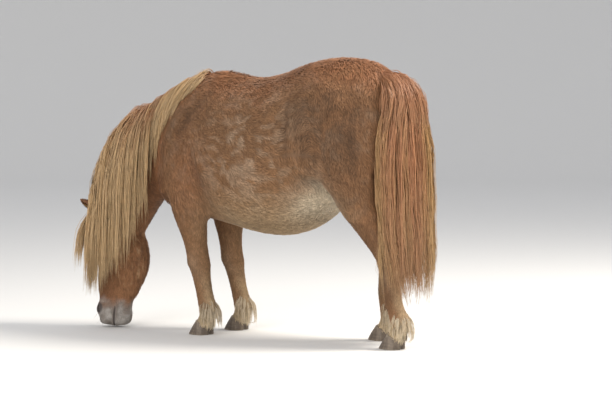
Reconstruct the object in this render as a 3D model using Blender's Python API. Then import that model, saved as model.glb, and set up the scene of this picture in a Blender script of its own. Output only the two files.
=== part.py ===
"""A life-size model of a grazing Shetland pony, as a museum shows one.

Metres, +Z up. The pony faces -X, its left side is towards -Y, and it stands on the plane z = 0.
The flesh is lofted in named sections, fused and smoothed as one body, and then parted into its nodes.
The mane, forelock, tail and the feather of the legs are tapered locks fused to the node they grow from.
"""

import math
import random

import bmesh
import bpy
from mathutils import Matrix, Vector
from mathutils.bvhtree import BVHTree

GAP = 0.0003  # between nodes that meet face to face
VOXEL = 0.008  # grid on which the lofts are fused
RING_POINTS = 28
FLESH_TRIANGLES = 4300
HALF_TURN = math.pi
DOWN = Vector((0, 0, -1))
SIDES = {"left": -1, "right": 1}

# The neck and head are modelled straight ahead and then turned to the pony's left.
TURN_START = -0.30
TURN_LENGTH = 0.24
TURN_ANGLE = math.radians(18)

# Trunk sections from breast to buttock: x, height of the top, of the underside and of the widest line,
# half width, and how sharp the ridge of the back is (1 is round).
TRUNK = (
    (-0.462, 0.740, 0.570, 0.650, 0.070, 1.0),
    (-0.430, 0.840, 0.510, 0.660, 0.135, 1.0),
    (-0.360, 0.950, 0.466, 0.680, 0.176, 1.1),
    (-0.270, 1.006, 0.442, 0.680, 0.198, 1.35),
    (-0.160, 0.996, 0.422, 0.660, 0.228, 1.2),
    (-0.030, 0.982, 0.396, 0.635, 0.262, 1.0),
    (0.090, 0.998, 0.388, 0.630, 0.274, 0.92),
    (0.200, 1.034, 0.420, 0.670, 0.258, 0.9),
    (0.300, 1.052, 0.492, 0.740, 0.234, 0.88),
    (0.400, 1.050, 0.570, 0.780, 0.208, 0.9),
    (0.485, 1.026, 0.630, 0.790, 0.170, 0.95),
    (0.548, 0.962, 0.680, 0.800, 0.110, 1.0),
)

# Neck sections from inside the shoulders to the poll: crest x and z, underline x and z, half width.
NECK = (
    (-0.220, 0.988, -0.330, 0.520, 0.130),
    (-0.350, 0.972, -0.430, 0.535, 0.135),
    (-0.480, 0.902, -0.480, 0.515, 0.112),
    (-0.592, 0.790, -0.518, 0.465, 0.092),
    (-0.670, 0.655, -0.548, 0.415, 0.082),
    (-0.722, 0.535, -0.575, 0.375, 0.076),
    (-0.735, 0.470, -0.600, 0.345, 0.064),
)

WITHERS = (-0.270, 0, 1.006)  # where the crest ends

# Head sections from the poll to the lips: front (face line) x and z, back (jaw line) x and z, half width.
HEAD = (
    (-0.705, 0.482, -0.620, 0.440, 0.046),
    (-0.745, 0.455, -0.575, 0.375, 0.072),
    (-0.763, 0.400, -0.556, 0.320, 0.082),
    (-0.766, 0.340, -0.550, 0.270, 0.086),
    (-0.762, 0.275, -0.562, 0.212, 0.076),
    (-0.757, 0.210, -0.592, 0.158, 0.061),
    (-0.757, 0.150, -0.616, 0.110, 0.051),
    (-0.762, 0.100, -0.624, 0.078, 0.052),
    (-0.761, 0.056, -0.622, 0.046, 0.052),
    (-0.748, 0.022, -0.632, 0.019, 0.044),
    (-0.722, 0.006, -0.655, 0.005, 0.026),
)

# Legs from inside the body to the coronet: centre x, y and z, half depth (fore and aft) and half width.
FORE_LEG = (
    (-0.315, 0.130, 0.640, 0.088, 0.052),
    (-0.290, 0.130, 0.520, 0.084, 0.060),
    (-0.283, 0.121, 0.440, 0.068, 0.056),
    (-0.272, 0.111, 0.360, 0.050, 0.044),
    (-0.264, 0.106, 0.305, 0.046, 0.042),
    (-0.259, 0.105, 0.272, 0.048, 0.043),
    (-0.250, 0.104, 0.235, 0.040, 0.036),
    (-0.238, 0.104, 0.180, 0.036, 0.031),
    (-0.225, 0.104, 0.130, 0.037, 0.032),
    (-0.212, 0.104, 0.101, 0.043, 0.038),
    (-0.215, 0.104, 0.076, 0.037, 0.035),
    (-0.225, 0.104, 0.052, 0.036, 0.037),
    (-0.235, 0.104, 0.020, 0.037, 0.038),
)
HIND_LEG = (
    (0.420, 0.130, 0.820, 0.120, 0.062),
    (0.432, 0.146, 0.700, 0.130, 0.074),
    (0.448, 0.144, 0.580, 0.104, 0.068),
    (0.490, 0.128, 0.480, 0.076, 0.055),
    (0.540, 0.114, 0.395, 0.056, 0.043),
    (0.586, 0.110, 0.335, 0.054, 0.038),
    (0.600, 0.110, 0.292, 0.049, 0.038),
    (0.602, 0.110, 0.245, 0.039, 0.034),
    (0.610, 0.110, 0.185, 0.035, 0.031),
    (0.627, 0.110, 0.136, 0.036, 0.032),
    (0.643, 0.110, 0.105, 0.042, 0.038),
    (0.641, 0.110, 0.079, 0.036, 0.035),
    (0.631, 0.110, 0.052, 0.035, 0.036),
    (0.622, 0.110, 0.020, 0.036, 0.037),
)

# How far each hind foot stands behind the mean, and the right fore foot before it.
STEP = {("fore", "left"): 0.0, ("fore", "right"): 0.02, ("hind", "left"): 0.0, ("hind", "right"): -0.18}

# Where the body is parted: a point and an outward normal for each plane that bounds a node.
HEAD_PLANE = ((-0.660, 0.0, 0.430), (0.573, 0.0, 0.819))
HEAD_BACK_PLANE = ((-0.45, 0, 0), (1, 0, 0))
NECK_PLANE = ((-0.360, 0, 0.760), (0.950, 0, -0.314))
FORE_LEG_PLANES = (
    ((-0.275, 0.110, 0.487), (0.35, -0.6, 1)),
    ((0, 0.020, 0), (0, -1, 0)),
    ((-0.400, 0, 0), (-1, 0, 0)),
    ((-0.10, 0, 0), (1, 0, 0)),
)
HIND_LEG_PLANES = (
    ((0.400, 0.080, 0.543), (-0.607, -0.5, 1)),
    ((0, 0.010, 0), (0, -1, 0)),
    ((0.200, 0, 0), (-1, 0, 0)),
)

# Hooves: height of the coronet at the middle of the foot, its slope, and levels from the coronet down:
# share of the height, how far the toe lies ahead of the middle and the heel behind it, and half width.
CORONET_HEIGHT = 0.050
CORONET_SLOPE = 0.40
CORONET_TOP = 0.10  # above every coronet
HOOF_GAP = 0.00033  # measured straight up, between the sloping coronet and the hoof
HOOF_POINTS = 18
HOOF_LEVELS = (
    (0.00, 0.034, 0.037, 0.037),
    (0.12, 0.038, 0.038, 0.039),
    (1.00, 0.062, 0.033, 0.047),
)
HEEL_SQUARENESS = 0.8
SOLE_SHIFT = -0.004  # from the middle of the lowest section to the middle of the foot

EYE = (-0.712, 0.0635, 0.352)
EYE_RADII = (0.0195, 0.0175, 0.0205)
EYE_CLEAR = 0.012  # no hair nearer to an eye than this
EYE_POINTS = 14
# Each lid: how far it bows from the line between the corners, and its thickness.
LID_ROLLS = ((0.0135, 0.0056), (-0.0130, 0.0046))
LID_CORNER = (-0.06, 0.0, 1.0)  # from the middle of an eye towards its upper corner
LID_FRONT = (-1.0, 0.30, -0.06)  # and towards its front, across the line between the corners
LID_LENGTH = 0.0255
LID_BULGE = 0.0145
LID_POINTS = 9
EAR_ROOT = (-0.745, 0.040, 0.452)
EAR_DIRECTION = (-0.78, 0.30, 0.58)
EAR_LENGTH = 0.102
# Ear sections from root to tip: share of the length, half width, and how far the cup is open, in degrees.
EAR = (
    (-0.14, 0.018, 40),
    (0.06, 0.021, 70),
    (0.25, 0.025, 110),
    (0.50, 0.025, 130),
    (0.72, 0.019, 130),
    (0.90, 0.010, 120),
    (1.00, 0.003, 110),
)
EAR_OPENING = (-0.75, 0.62, -0.30)
EAR_THICKNESS = 0.0045
EAR_POINTS = 8
NOSTRIL = (-0.748, 0.040, 0.078)
NOSTRIL_RADII = (0.0080, 0.0120, 0.0175)
NOSTRIL_TILT = -24
# The line of the mouth: a cut up each side to its corner, and one across between the lips.
MOUTH = (-0.684, 0.050, 0.036)
MOUTH_RADII = (0.0024, 0.0170, 0.0560)
MOUTH_TILT = 6
LIPS = (-0.688, 0.0, 0.004)
LIPS_RADII = (0.0026, 0.0600, 0.0260)

# Length of the mane's hair along the crest, from the poll (0) to the withers (1).
MANE_LENGTH = ((0.0, 0.36), (0.2, 0.45), (0.4, 0.53), (0.66, 0.53), (0.73, 0.30), (0.84, 0.20), (1.0, 0.11))
# Layers of the mane: number of locks, where along the crest they start and stop, how far each root lies
# to the right of the crest, the side they fall to, how far they lie off the neck, share of the length, width.
MANE_LAYERS = (
    (8, 0.06, 0.70, -0.030, "left", 0.007, 0.88, 0.058),
    (12, 0.03, 0.68, -0.004, "left", 0.029, 1.00, 0.048),
    (6, 0.71, 1.00, -0.008, "left", 0.010, 1.00, 0.036),
    (9, 0.04, 0.98, 0.014, "right", 0.008, 0.48, 0.044),
)
MANE_STAGGER = 0.010  # every other lock of a layer lies this much further out
# The thick of the roots along the crest: how far it stands above the neck, and its half width.
RIDGE_RISE = 0.002
RIDGE_RADIUS = 0.019
# Rings of the forelock: number of locks, how far they lie off the face, length, how far they reach ahead.
FORELOCK_RINGS = ((5, 0.010, 0.25, 0.35), (7, 0.026, 0.29, 0.60))
FORELOCK_ROOT = (-0.735, 0.034, 0.468)
FORELOCK_WIDTH = 0.036

# The tail from inside the croup down to its tips: middle x and z, half depth and half width of the hair.
TAIL = (
    (0.440, 0.950, 0.030, 0.030),
    (0.505, 0.970, 0.034, 0.042),
    (0.558, 0.952, 0.048, 0.072),
    (0.584, 0.895, 0.062, 0.108),
    (0.590, 0.790, 0.066, 0.136),
    (0.595, 0.640, 0.066, 0.150),
    (0.604, 0.470, 0.065, 0.152),
    (0.618, 0.300, 0.060, 0.146),
    (0.628, 0.170, 0.050, 0.122),
)
TAIL_CORE_END = 0.52
TAIL_CORE_SHARE = 0.70
TAIL_CORE_POINTS = 14
# Tiers of the tail: number of locks, share of the tail's length at their roots and tips, how far out
# they lie, and width.
TAIL_TIERS = (
    (7, 0.45, 0.97, 0.45, 0.060),
    (12, 0.28, 1.00, 0.78, 0.058),
    (13, 0.14, 0.98, 1.08, 0.056),
)
TAIL_SEED_SHARE = 0.52  # how far out a lock of the tail starts, inside the core

# The space that the forelock hangs in, on the straight head; the mane keeps out of it.
FORELOCK_PLANES = (
    ((-0.745, -0.070, 0), (0.80, -0.60, 0)),
    ((-0.745, 0.070, 0), (0.80, 0.60, 0)),
    ((-0.735, 0, 0.498), (0.45, 0, 0.89)),
)
FEATHER_LOCKS = 5
FEATHER_LENGTH = 0.070
FEATHER_WIDTH = 0.027
FEATHER_HEIGHTS = (0.110, 0.127)
FEATHER_SPREAD = 0.62  # share of a half turn that the locks take up to each side of the back

# Share of a lock's length and of its width there, from the root to just before the tip.
LOCK_TAPER = ((0.0, 0.80), (0.20, 1.0), (0.54, 0.92), (0.84, 0.50))
LOCK_THICKNESS = 0.17
LOCK_ROOT = 0.012  # how deep a root is sunk

# Each material: colour and roughness, and the words in the names of the nodes that take it.
MATERIALS = {
    "hoof": ((0.16, 0.13, 0.10), 0.55),
    "eye": ((0.03, 0.018, 0.010), 0.12),
    "hair": ((0.62, 0.45, 0.27), 0.60),
    "coat": ((0.42, 0.235, 0.125), 0.75),
}
NODE_MATERIALS = {"hoof": ("hoof",), "eye": ("eye",), "hair": ("neck", "tail"), "coat": ("",)}

# Muscles and bony points that stand out of the lofts: centre, half sizes and tilt about Y in degrees.
# Each is made on both sides; y is how far it lies from the middle.
MUSCLES = {
    "shoulder_blade": ((-0.300, 0.125, 0.740), (0.080, 0.060, 0.170), 22),
    "shoulder_point": ((-0.385, 0.100, 0.600), (0.070, 0.062, 0.085), 0),
    "breast": ((-0.400, 0.060, 0.590), (0.070, 0.070, 0.110), 0),
    "upper_arm": ((-0.290, 0.130, 0.550), (0.105, 0.056, 0.085), 35),
    "haunch": ((0.330, 0.120, 0.850), (0.150, 0.108, 0.140), 20),
    "rump": ((0.410, 0.085, 0.870), (0.120, 0.096, 0.125), 0),
    "thigh": ((0.420, 0.135, 0.700), (0.122, 0.092, 0.190), -8),
    "buttock": ((0.500, 0.090, 0.760), (0.072, 0.075, 0.150), 0),
}
HEAD_MUSCLES = {
    "cheek": ((-0.625, 0.043, 0.305), (0.060, 0.033, 0.080), 8),
    "brow": ((-0.722, 0.052, 0.352), (0.032, 0.030, 0.038), 0),
    "face_crest": ((-0.690, 0.046, 0.262), (0.022, 0.022, 0.070), 0),
    "nostril": ((-0.738, 0.027, 0.072), (0.025, 0.027, 0.036), 0),
    "nose_bone": ((-0.742, 0.014, 0.190), (0.020, 0.024, 0.090), 0),
    "upper_lip": ((-0.722, 0.016, 0.034), (0.036, 0.032, 0.026), -12),
    "lower_lip": ((-0.656, 0.010, 0.034), (0.027, 0.030, 0.027), 0),
    "poll": ((-0.722, 0.012, 0.452), (0.036, 0.036, 0.036), 0),
}


def clear_scene():
    for obj in list(bpy.data.objects):
        bpy.data.objects.remove(obj)


def smooth_step(t):
    t = min(max(t, 0.0), 1.0)
    return t * t * (3 - 2 * t)


def turned(point):
    """Carries a point of the straight neck or head round to where the pony's left turn puts it."""
    ahead = TURN_START - point.x
    if ahead <= 0:
        return point.copy()
    steps = 24
    x, y = TURN_START, 0.0
    for i in range(steps):
        t = (i + 0.5) / steps * ahead
        angle = TURN_ANGLE * smooth_step(t / TURN_LENGTH)
        x -= math.cos(angle) * ahead / steps
        y -= math.sin(angle) * ahead / steps
    angle = TURN_ANGLE * smooth_step(ahead / TURN_LENGTH)
    return Vector((x - point.y * math.sin(angle), y + point.y * math.cos(angle), point.z))


def spline(rows, per_span=4):
    """Catmull-Rom rows between the given ones, so that a few sections make a smooth form."""
    rows = [list(row) for row in rows]
    before = [2 * a - b for a, b in zip(rows[0], rows[1])]
    after = [2 * a - b for a, b in zip(rows[-1], rows[-2])]
    padded = [before, *rows, after]
    found = []
    for i in range(1, len(padded) - 2):
        for k in range(per_span):
            t = k / per_span
            row = []
            for a, b, c, d in zip(*padded[i - 1 : i + 3]):
                bend = (2 * a - 5 * b + 4 * c - d) * t**2 + (3 * b - a - 3 * c + d) * t**3
                row.append(b + (c - a) * t / 2 + bend / 2)
            found.append(row)
    return found + [rows[-1]]


def object_of(name, bm):
    """An object of triangles, which keep their shape through every cut."""
    bmesh.ops.triangulate(bm, faces=bm.faces)
    bmesh.ops.recalc_face_normals(bm, faces=bm.faces)
    mesh = bpy.data.meshes.new(name)
    bm.to_mesh(mesh)
    bm.free()
    obj = bpy.data.objects.new(name, mesh)
    bpy.context.scene.collection.objects.link(obj)
    return obj


def loft(name, rings):
    """A closed body through rings of points, with its two ends capped."""
    bm = bmesh.new()
    loops = [[bm.verts.new(p) for p in ring] for ring in rings]
    count = len(loops[0])
    for lower, upper in zip(loops, loops[1:]):
        for i in range(count):
            j = (i + 1) % count
            bm.faces.new((lower[i], lower[j], upper[j], upper[i]))
    bm.faces.new(loops[0])
    bm.faces.new(loops[-1])
    return object_of(name, bm)


def ball(name, centre, radii, tilt=0.0, segments=20):
    """An ellipsoid of the given half sizes, tilted about the Y axis by degrees."""
    bm = bmesh.new()
    tilted = Matrix.Rotation(math.radians(tilt), 4, "Y")
    place = Matrix.Translation(centre) @ tilted @ Matrix.Diagonal((*radii, 1))
    bmesh.ops.create_uvsphere(bm, u_segments=segments, v_segments=segments // 2, radius=1, matrix=place)
    return object_of(name, bm)


def trunk():
    rings = []
    for x, top, bottom, widest, half_width, ridge in spline(TRUNK):
        ring = []
        for i in range(RING_POINTS):
            angle = 2 * HALF_TURN * i / RING_POINTS
            up, side = math.cos(angle), math.sin(angle)
            reach = top - widest if up > 0 else widest - bottom
            sharp = ridge if up > 0 else 0.95
            y = half_width * math.copysign(abs(side) ** sharp, side)
            ring.append(Vector((x, y, widest + reach * up)))
        rings.append(ring)
    return loft("trunk", rings)


def profile_loft(name, sections, back_width=1.0):
    """A loft of sections given by a front point, a back point and a half width, turned to the left.

    back_width scales the half width at the back of each section."""
    rings = []
    for fx, fz, bx, bz, half_width in spline(sections):
        front, back = Vector((fx, 0, fz)), Vector((bx, 0, bz))
        middle, reach = (front + back) / 2, (front - back) / 2
        ring = []
        for i in range(RING_POINTS):
            angle = 2 * HALF_TURN * i / RING_POINTS
            share = 1 + (back_width - 1) * (1 - math.cos(angle)) / 2
            across = Vector((0, half_width * share * math.sin(angle), 0))
            ring.append(turned(middle + reach * math.cos(angle) + across))
        rings.append(ring)
    return loft(name, rings)


def leg(name, sections, side, shift):
    """A leg on one side. shift moves the foot fore and aft, growing down the leg."""
    rings = []
    top = sections[0][2]
    for x, y, z, depth, width in spline(sections):
        x += shift * smooth_step((top - z) / top)
        ring = []
        for i in range(RING_POINTS):
            angle = 2 * HALF_TURN * i / RING_POINTS
            ring.append(Vector((x + depth * math.cos(angle), side * y + width * math.sin(angle), z)))
        rings.append(ring)
    return loft(name, rings)


def balls(muscles, place=lambda point: point):
    """The named muscles on both sides of the middle."""
    for centre, radii, tilt in muscles.values():
        for side in SIDES.values():
            ball("muscle", place(Vector((centre[0], side * centre[1], centre[2]))), radii, tilt)


def apply_modifiers(obj):
    graph = bpy.context.evaluated_depsgraph_get()
    mesh = bpy.data.meshes.new_from_object(obj.evaluated_get(graph))
    obj.modifiers.clear()
    obj.data = mesh


def boolean(body, operation, pieces):
    """Joins a body with closed pieces or cuts it by them. The pieces are then removed."""
    if not pieces:
        return
    operands = bpy.data.collections.new("operands")
    for piece in pieces:
        operands.objects.link(piece)
    modifier = body.modifiers.new("Boolean", "BOOLEAN")
    modifier.operation = operation
    modifier.solver = "MANIFOLD"
    modifier.operand_type = "COLLECTION"
    modifier.collection = operands
    apply_modifiers(body)
    for piece in pieces:
        bpy.data.objects.remove(piece)
    bpy.data.collections.remove(operands)


def keep_largest(obj):
    """Drops loose scraps and sealed hollows, so that one closed surface stays."""
    bm = bmesh.new()
    bm.from_mesh(obj.data)
    unseen = set(bm.faces)
    shells = []
    while unseen:
        edge_of_search = [unseen.pop()]
        shell = set(edge_of_search)
        while edge_of_search:
            face = edge_of_search.pop()
            joints = [edge for edge in face.edges if len(edge.link_faces) == 2]
            beside = {other for edge in joints for other in edge.link_faces} & unseen
            unseen -= beside
            shell |= beside
            edge_of_search.extend(beside)
        shells.append(shell)
    largest = max(shells, key=lambda shell: sum(face.calc_area() for face in shell))
    bmesh.ops.delete(bm, geom=[face for face in bm.faces if face not in largest], context="FACES")
    bm.to_mesh(obj.data)
    bm.free()


def copied(obj, name):
    copy = bpy.data.objects.new(name, obj.data.copy())
    bpy.context.scene.collection.objects.link(copy)
    return copy


def grown(obj, distance):
    """A copy of a body with its surface moved outwards."""
    copy = copied(obj, "grown")
    moves = [vertex.normal * distance for vertex in copy.data.vertices]
    for vertex, move in zip(copy.data.vertices, moves):
        vertex.co += move
    return copy


def region(planes, grow=0.0):
    """The space behind every plane, each a point and an outward normal."""
    bm = bmesh.new()
    bmesh.ops.create_cube(bm, size=4)
    for point, normal in planes:
        normal = Vector(normal).normalized()
        everything = bm.verts[:] + bm.edges[:] + bm.faces[:]
        at = Vector(point) + normal * grow
        cut = bmesh.ops.bisect_plane(
            bm, geom=everything, plane_co=at, plane_no=normal, clear_outer=True
        )
        rim = [item for item in cut["geom_cut"] if isinstance(item, bmesh.types.BMEdge)]
        bmesh.ops.edgeloop_fill(bm, edges=rim)
    return object_of("region", bm)


def mirrored(planes, side):
    return [((p[0], side * p[1], p[2]), (n[0], side * n[1], n[2])) for p, n in planes]


def parted(body, name, planes):
    """Cuts the space behind the planes out of a body, and returns it as a body of its own."""
    piece = copied(body, name)
    boolean(piece, "INTERSECT", [region(planes)])
    boolean(body, "DIFFERENCE", [region(planes, GAP)])
    return piece


def weigh(obj, name, share):
    """A vertex group whose weight at each vertex is share(point), held between 0 and 1."""
    group = obj.vertex_groups.new(name=name)
    for vertex in obj.data.vertices:
        group.add([vertex.index], min(max(share(vertex.co), 0.0), 1.0), "REPLACE")
    return group.name


def fleshiness(point):
    """How soft the form is at a point: 1 on the trunk, 0 on the lower legs and the muzzle."""
    if point.x > -0.44:
        return (point.z - 0.36) / 0.16
    return (point.z - 0.14) / 0.25


def fused(name, pieces):
    """One smooth body from overlapping closed pieces, which are then removed."""
    bm = bmesh.new()
    for piece in pieces:
        bm.from_mesh(piece.data)
        bpy.data.objects.remove(piece)
    body = object_of(name, bm)
    remesh = body.modifiers.new("Fuse", "REMESH")
    remesh.mode = "VOXEL"
    remesh.voxel_size = VOXEL
    apply_modifiers(body)
    fleshy = weigh(body, "fleshy", fleshiness)
    for group, rounds in ((fleshy, 26), ("", 5)):
        smooth = body.modifiers.new("Smooth", "SMOOTH")
        smooth.factor = 0.5
        smooth.iterations = rounds
        smooth.vertex_group = group
    apply_modifiers(body)
    return body


def plainness(point):
    """How large the faces may be at a point, from 0 to 1."""
    if point.x < -0.52 and point.z < 0.45:
        return 0.35
    if point.x < -0.40:
        return 0.75
    return 0.55


def thinned(body, triangles):
    """Fewer faces, with the smallest on the head and the largest on the neck, which the mane covers."""
    plain = weigh(body, "plain", plainness)
    thin = body.modifiers.new("Thin", "DECIMATE")
    thin.ratio = triangles / (2 * len(body.data.polygons))
    thin.vertex_group = plain
    thin.vertex_group_factor = 1.0
    apply_modifiers(body)
    body.vertex_groups.clear()
    return body


def flesh():
    pieces = [trunk(), profile_loft("neck", NECK), profile_loft("head", HEAD, back_width=0.8)]
    for (pair, side), step in STEP.items():
        sections = FORE_LEG if pair == "fore" else HIND_LEG
        pieces.append(leg("leg", sections, SIDES[side], step))
    known = set(pieces)
    balls(MUSCLES)
    balls(HEAD_MUSCLES, turned)
    pieces += [obj for obj in bpy.data.objects if obj not in known]
    return thinned(fused("torso", pieces), FLESH_TRIANGLES)


def head_planes():
    point, normal = HEAD_PLANE
    yaw = Matrix.Rotation(TURN_ANGLE, 3, "Z")
    return [(turned(Vector(point)), yaw @ Vector(normal)), HEAD_BACK_PLANE]


def foot_centre(pair, side):
    """The middle of the coronet of one foot."""
    sections = FORE_LEG if pair == "fore" else HIND_LEG
    x, y = sections[-1][:2]
    return Vector((x + SOLE_SHIFT + STEP[pair, side], SIDES[side] * y, CORONET_HEIGHT))


def below_coronet(centre):
    return region([(centre, (CORONET_SLOPE, 0, 1)), ((0, 0, CORONET_TOP), (0, 0, 1))])


def hoof(name, centre):
    """A hoof with a flat sole, its toe ahead of the coronet and its heels behind."""
    rings = []
    for fall, toe, heel, half_width in HOOF_LEVELS:
        ring = []
        for i in range(HOOF_POINTS):
            angle = 2 * HALF_TURN * i / HOOF_POINTS
            ahead, side = math.cos(angle), math.sin(angle)
            reach = -toe * ahead if ahead > 0 else heel * abs(ahead) ** HEEL_SQUARENESS
            top = centre.z - CORONET_SLOPE * reach - HOOF_GAP
            ring.append(Vector((centre.x + reach, centre.y + half_width * side, top * (1 - fall))))
        rings.append(ring)
    return loft(name, rings)


def joined(pieces):
    """The first of some closed pieces, with the others fused to it."""
    boolean(pieces[0], "UNION", pieces[1:])
    return pieces[0]


def profile_at(table, place):
    """The row of a table at a place between its first column's values."""
    for low, high in zip(table, table[1:]):
        if min(low[0], high[0]) <= place <= max(low[0], high[0]):
            share = (place - low[0]) / (high[0] - low[0])
            return [a + (b - a) * share for a, b in zip(low[1:], high[1:])]
    return list(table[-1][1:])


def sampled(path, share):
    """The point at a share of a path's length."""
    lengths = [(b - a).length for a, b in zip(path, path[1:])]
    left = share * sum(lengths)
    for start, end, length in zip(path, path[1:], lengths):
        if left <= length:
            return start.lerp(end, left / length)
        left -= length
    return path[-1].copy()


def lock(path, width, outward):
    """A tapered lock along a path: flat inside, ridged outside. outward gives the outer side at a point."""
    rings = []
    points = [sampled(path, share) for share, _ in LOCK_TAPER] + [path[-1]]
    facing = outward(points[1])
    for i, (share, taper) in enumerate(LOCK_TAPER):
        along = (points[i + 1] - points[max(i - 1, 0)]).normalized()
        found = outward(points[max(i, 1)])
        facing = found if found.dot(facing) > 0.3 else facing
        out = (facing - along * facing.dot(along)).normalized()
        across = along.cross(out) * width * taper / 2
        thick = width * taper * LOCK_THICKNESS
        rings.append([points[i] - across, points[i] + across, points[i] + out * thick])
    bm = bmesh.new()
    loops = [[bm.verts.new(p) for p in ring] for ring in rings]
    tip = bm.verts.new(points[-1])
    for lower, upper in zip(loops, loops[1:]):
        for i in range(3):
            j = (i + 1) % 3
            bm.faces.new((lower[i], lower[j], upper[j], upper[i]))
    for i in range(3):
        bm.faces.new((loops[-1][i], loops[-1][(i + 1) % 3], tip))
    bm.faces.new(loops[0])
    return object_of("lock", bm)


class Surface:
    """The flesh as it stands before it is parted, for setting hair on it and keeping hair off it."""

    def __init__(self, body):
        bm = bmesh.new()
        bm.from_mesh(body.data)
        self.tree = BVHTree.FromBMesh(bm)
        bm.free()

    def nearest(self, point):
        near, normal, _, _ = self.tree.find_nearest(point)
        return near, normal

    def outward(self, point):
        return self.nearest(point)[1]

    def lifted(self, point, clear):
        """The point, moved out to a clear distance where it lies nearer than that."""
        near, normal = self.nearest(point)
        away = point - near
        if away.dot(normal) > 0 and away.length >= clear:
            return point
        return near + normal * clear


def hanging(surface, root, heading, length, clear, sag, lean=Vector((0, 0, 0)), steps=24):
    """A path that leaves the root along its heading, bends down under its weight and stays off the flesh."""
    heading = heading.normalized()
    path = [root - surface.outward(root) * LOCK_ROOT]
    point = root
    for i in range(steps):
        path.append(point)
        heading = (heading * (1 - sag) + (DOWN + lean) * sag).normalized()
        rise = clear * min(1.0, (i + 1) / 3)
        point = surface.lifted(point + heading * length / steps, rise)
        heading = (point - path[-1]).normalized()
    return path + [point]


def crest_point(share):
    """A point of the crest, from the poll (0) to the withers (1), and the direction along it."""
    line = [Vector((x, 0, z)) for x, z, *_ in reversed(NECK[1:])] + [Vector(WITHERS)]
    start, end = sampled(line, max(share - 0.02, 0)), sampled(line, min(share + 0.02, 1))
    return turned(sampled(line, share)), (turned(end) - turned(start)).normalized()


def mane_ridge(surface):
    """The thick of the mane's roots, which runs along the crest and tapers towards the withers."""
    path, radii = [], []
    steps = 8
    for i in range(steps + 1):
        root, normal = surface.nearest(crest_point(0.02 + 0.96 * i / steps)[0])
        path.append(root + normal * RIDGE_RISE)
        taper = 1 - 0.6 * smooth_step((i / steps - 0.6) / 0.4)
        radii.append(RIDGE_RADIUS * taper * (0.6 if i in (0, steps) else 1))
    return tube("ridge", path, radii, 5)


def mane_locks(surface, draw):
    locks = [mane_ridge(surface)]
    for count, start, stop, offset, falls, clear, length_share, width in MANE_LAYERS:
        for i in range(count):
            share = start + (i + 0.5 + draw.uniform(-0.15, 0.15)) / count * (stop - start)
            crest, along = crest_point(share)
            side = Vector((0, 0, 1)).cross(along).normalized()
            root, normal = surface.nearest(crest + side * offset)
            heading = normal * 0.5 + side * SIDES[falls]
            length = profile_at(MANE_LENGTH, share)[0] * length_share * draw.uniform(0.90, 1.06)
            lean = Vector((draw.uniform(-0.10, -0.02), 0, 0))
            path = hanging(surface, root, heading, length, clear + i % 2 * MANE_STAGGER, 0.25, lean)
            locks.append(lock(path, width * draw.uniform(0.9, 1.1), surface.outward))
    return locks


def forelock_locks(surface, draw):
    locks = []
    yaw = Matrix.Rotation(TURN_ANGLE, 3, "Z")
    for count, clear, length, reach in FORELOCK_RINGS:
        for i in range(count):
            across = (i + 0.5) / count * 2 - 1
            x, y, z = FORELOCK_ROOT
            start = turned(Vector((x, y * across, z + 0.010 * reach)))
            root, _ = surface.nearest(start)
            heading = yaw @ Vector((-1.0, 1.2 * across, 0.30 * reach))
            wanted = length * draw.uniform(0.85, 1.05)
            path = hanging(surface, root, heading, wanted, clear, 0.30 - 0.14 * reach)
            out = yaw @ Vector((-1.0, 1.2 * across, 1.0))
            locks.append(lock(path, FORELOCK_WIDTH * draw.uniform(0.9, 1.1), lambda p: out))
    return locks


def tail_frame(share):
    """The middle of the tail, its backward direction, half depth and half width at a share of its length."""
    rows = spline(TAIL, 3)
    line = [Vector((x, 0, z)) for x, z, _, _ in rows]
    middle = sampled(line, share)
    along = (sampled(line, min(share + 0.02, 1.0)) - sampled(line, max(share - 0.02, 0.0))).normalized()
    near = min(rows, key=lambda row: (Vector((row[0], 0, row[1])) - middle).length)
    return middle, Vector((-along.z, 0, along.x)), near[2], near[3]


def tail_point(share, angle, out):
    """A point of the tail, angle round from its back, out from its middle (0) to its hair's edge (1)."""
    middle, back, half_depth, half_width = tail_frame(share)
    across = Vector((0, out * half_width * math.sin(angle), 0))
    return middle + back * (out * half_depth * math.cos(angle)) + across


def tail_core():
    """The dock and the thick of the hair, down to half way."""
    rings = []
    steps = 9
    for i in range(steps + 1):
        share = TAIL_CORE_END * i / steps
        out = 1 - (1 - TAIL_CORE_SHARE) * smooth_step(share / 0.25)
        if i == steps:
            out *= 0.6
        turns = [2 * HALF_TURN * k / TAIL_CORE_POINTS for k in range(TAIL_CORE_POINTS)]
        rings.append([tail_point(share, angle, out) for angle in turns])
    return loft("tail", rings)


def tail_locks(surface, draw):
    locks = []
    steps = 16
    for count, root_share, tip_share, reach, width in TAIL_TIERS:
        for i in range(count):
            angle = 2 * HALF_TURN * (i + draw.uniform(-0.15, 0.15)) / count
            top = root_share + draw.uniform(-0.02, 0.02)
            tip = tip_share - draw.uniform(0.0, 0.09)
            start = TAIL_SEED_SHARE
            path = []
            for k in range(steps + 1):
                fall = k / steps
                out = start + (reach - start) * smooth_step(fall * 3.5)
                point = tail_point(top + (tip - top) * fall, angle, out)
                path.append(surface.lifted(point, 0.004 + 0.012 * reach))
            out = Vector((math.cos(angle), 0.6 * math.sin(angle), 0))
            locks.append(lock(path, width * draw.uniform(0.9, 1.1), lambda p: out))
    return locks


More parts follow.
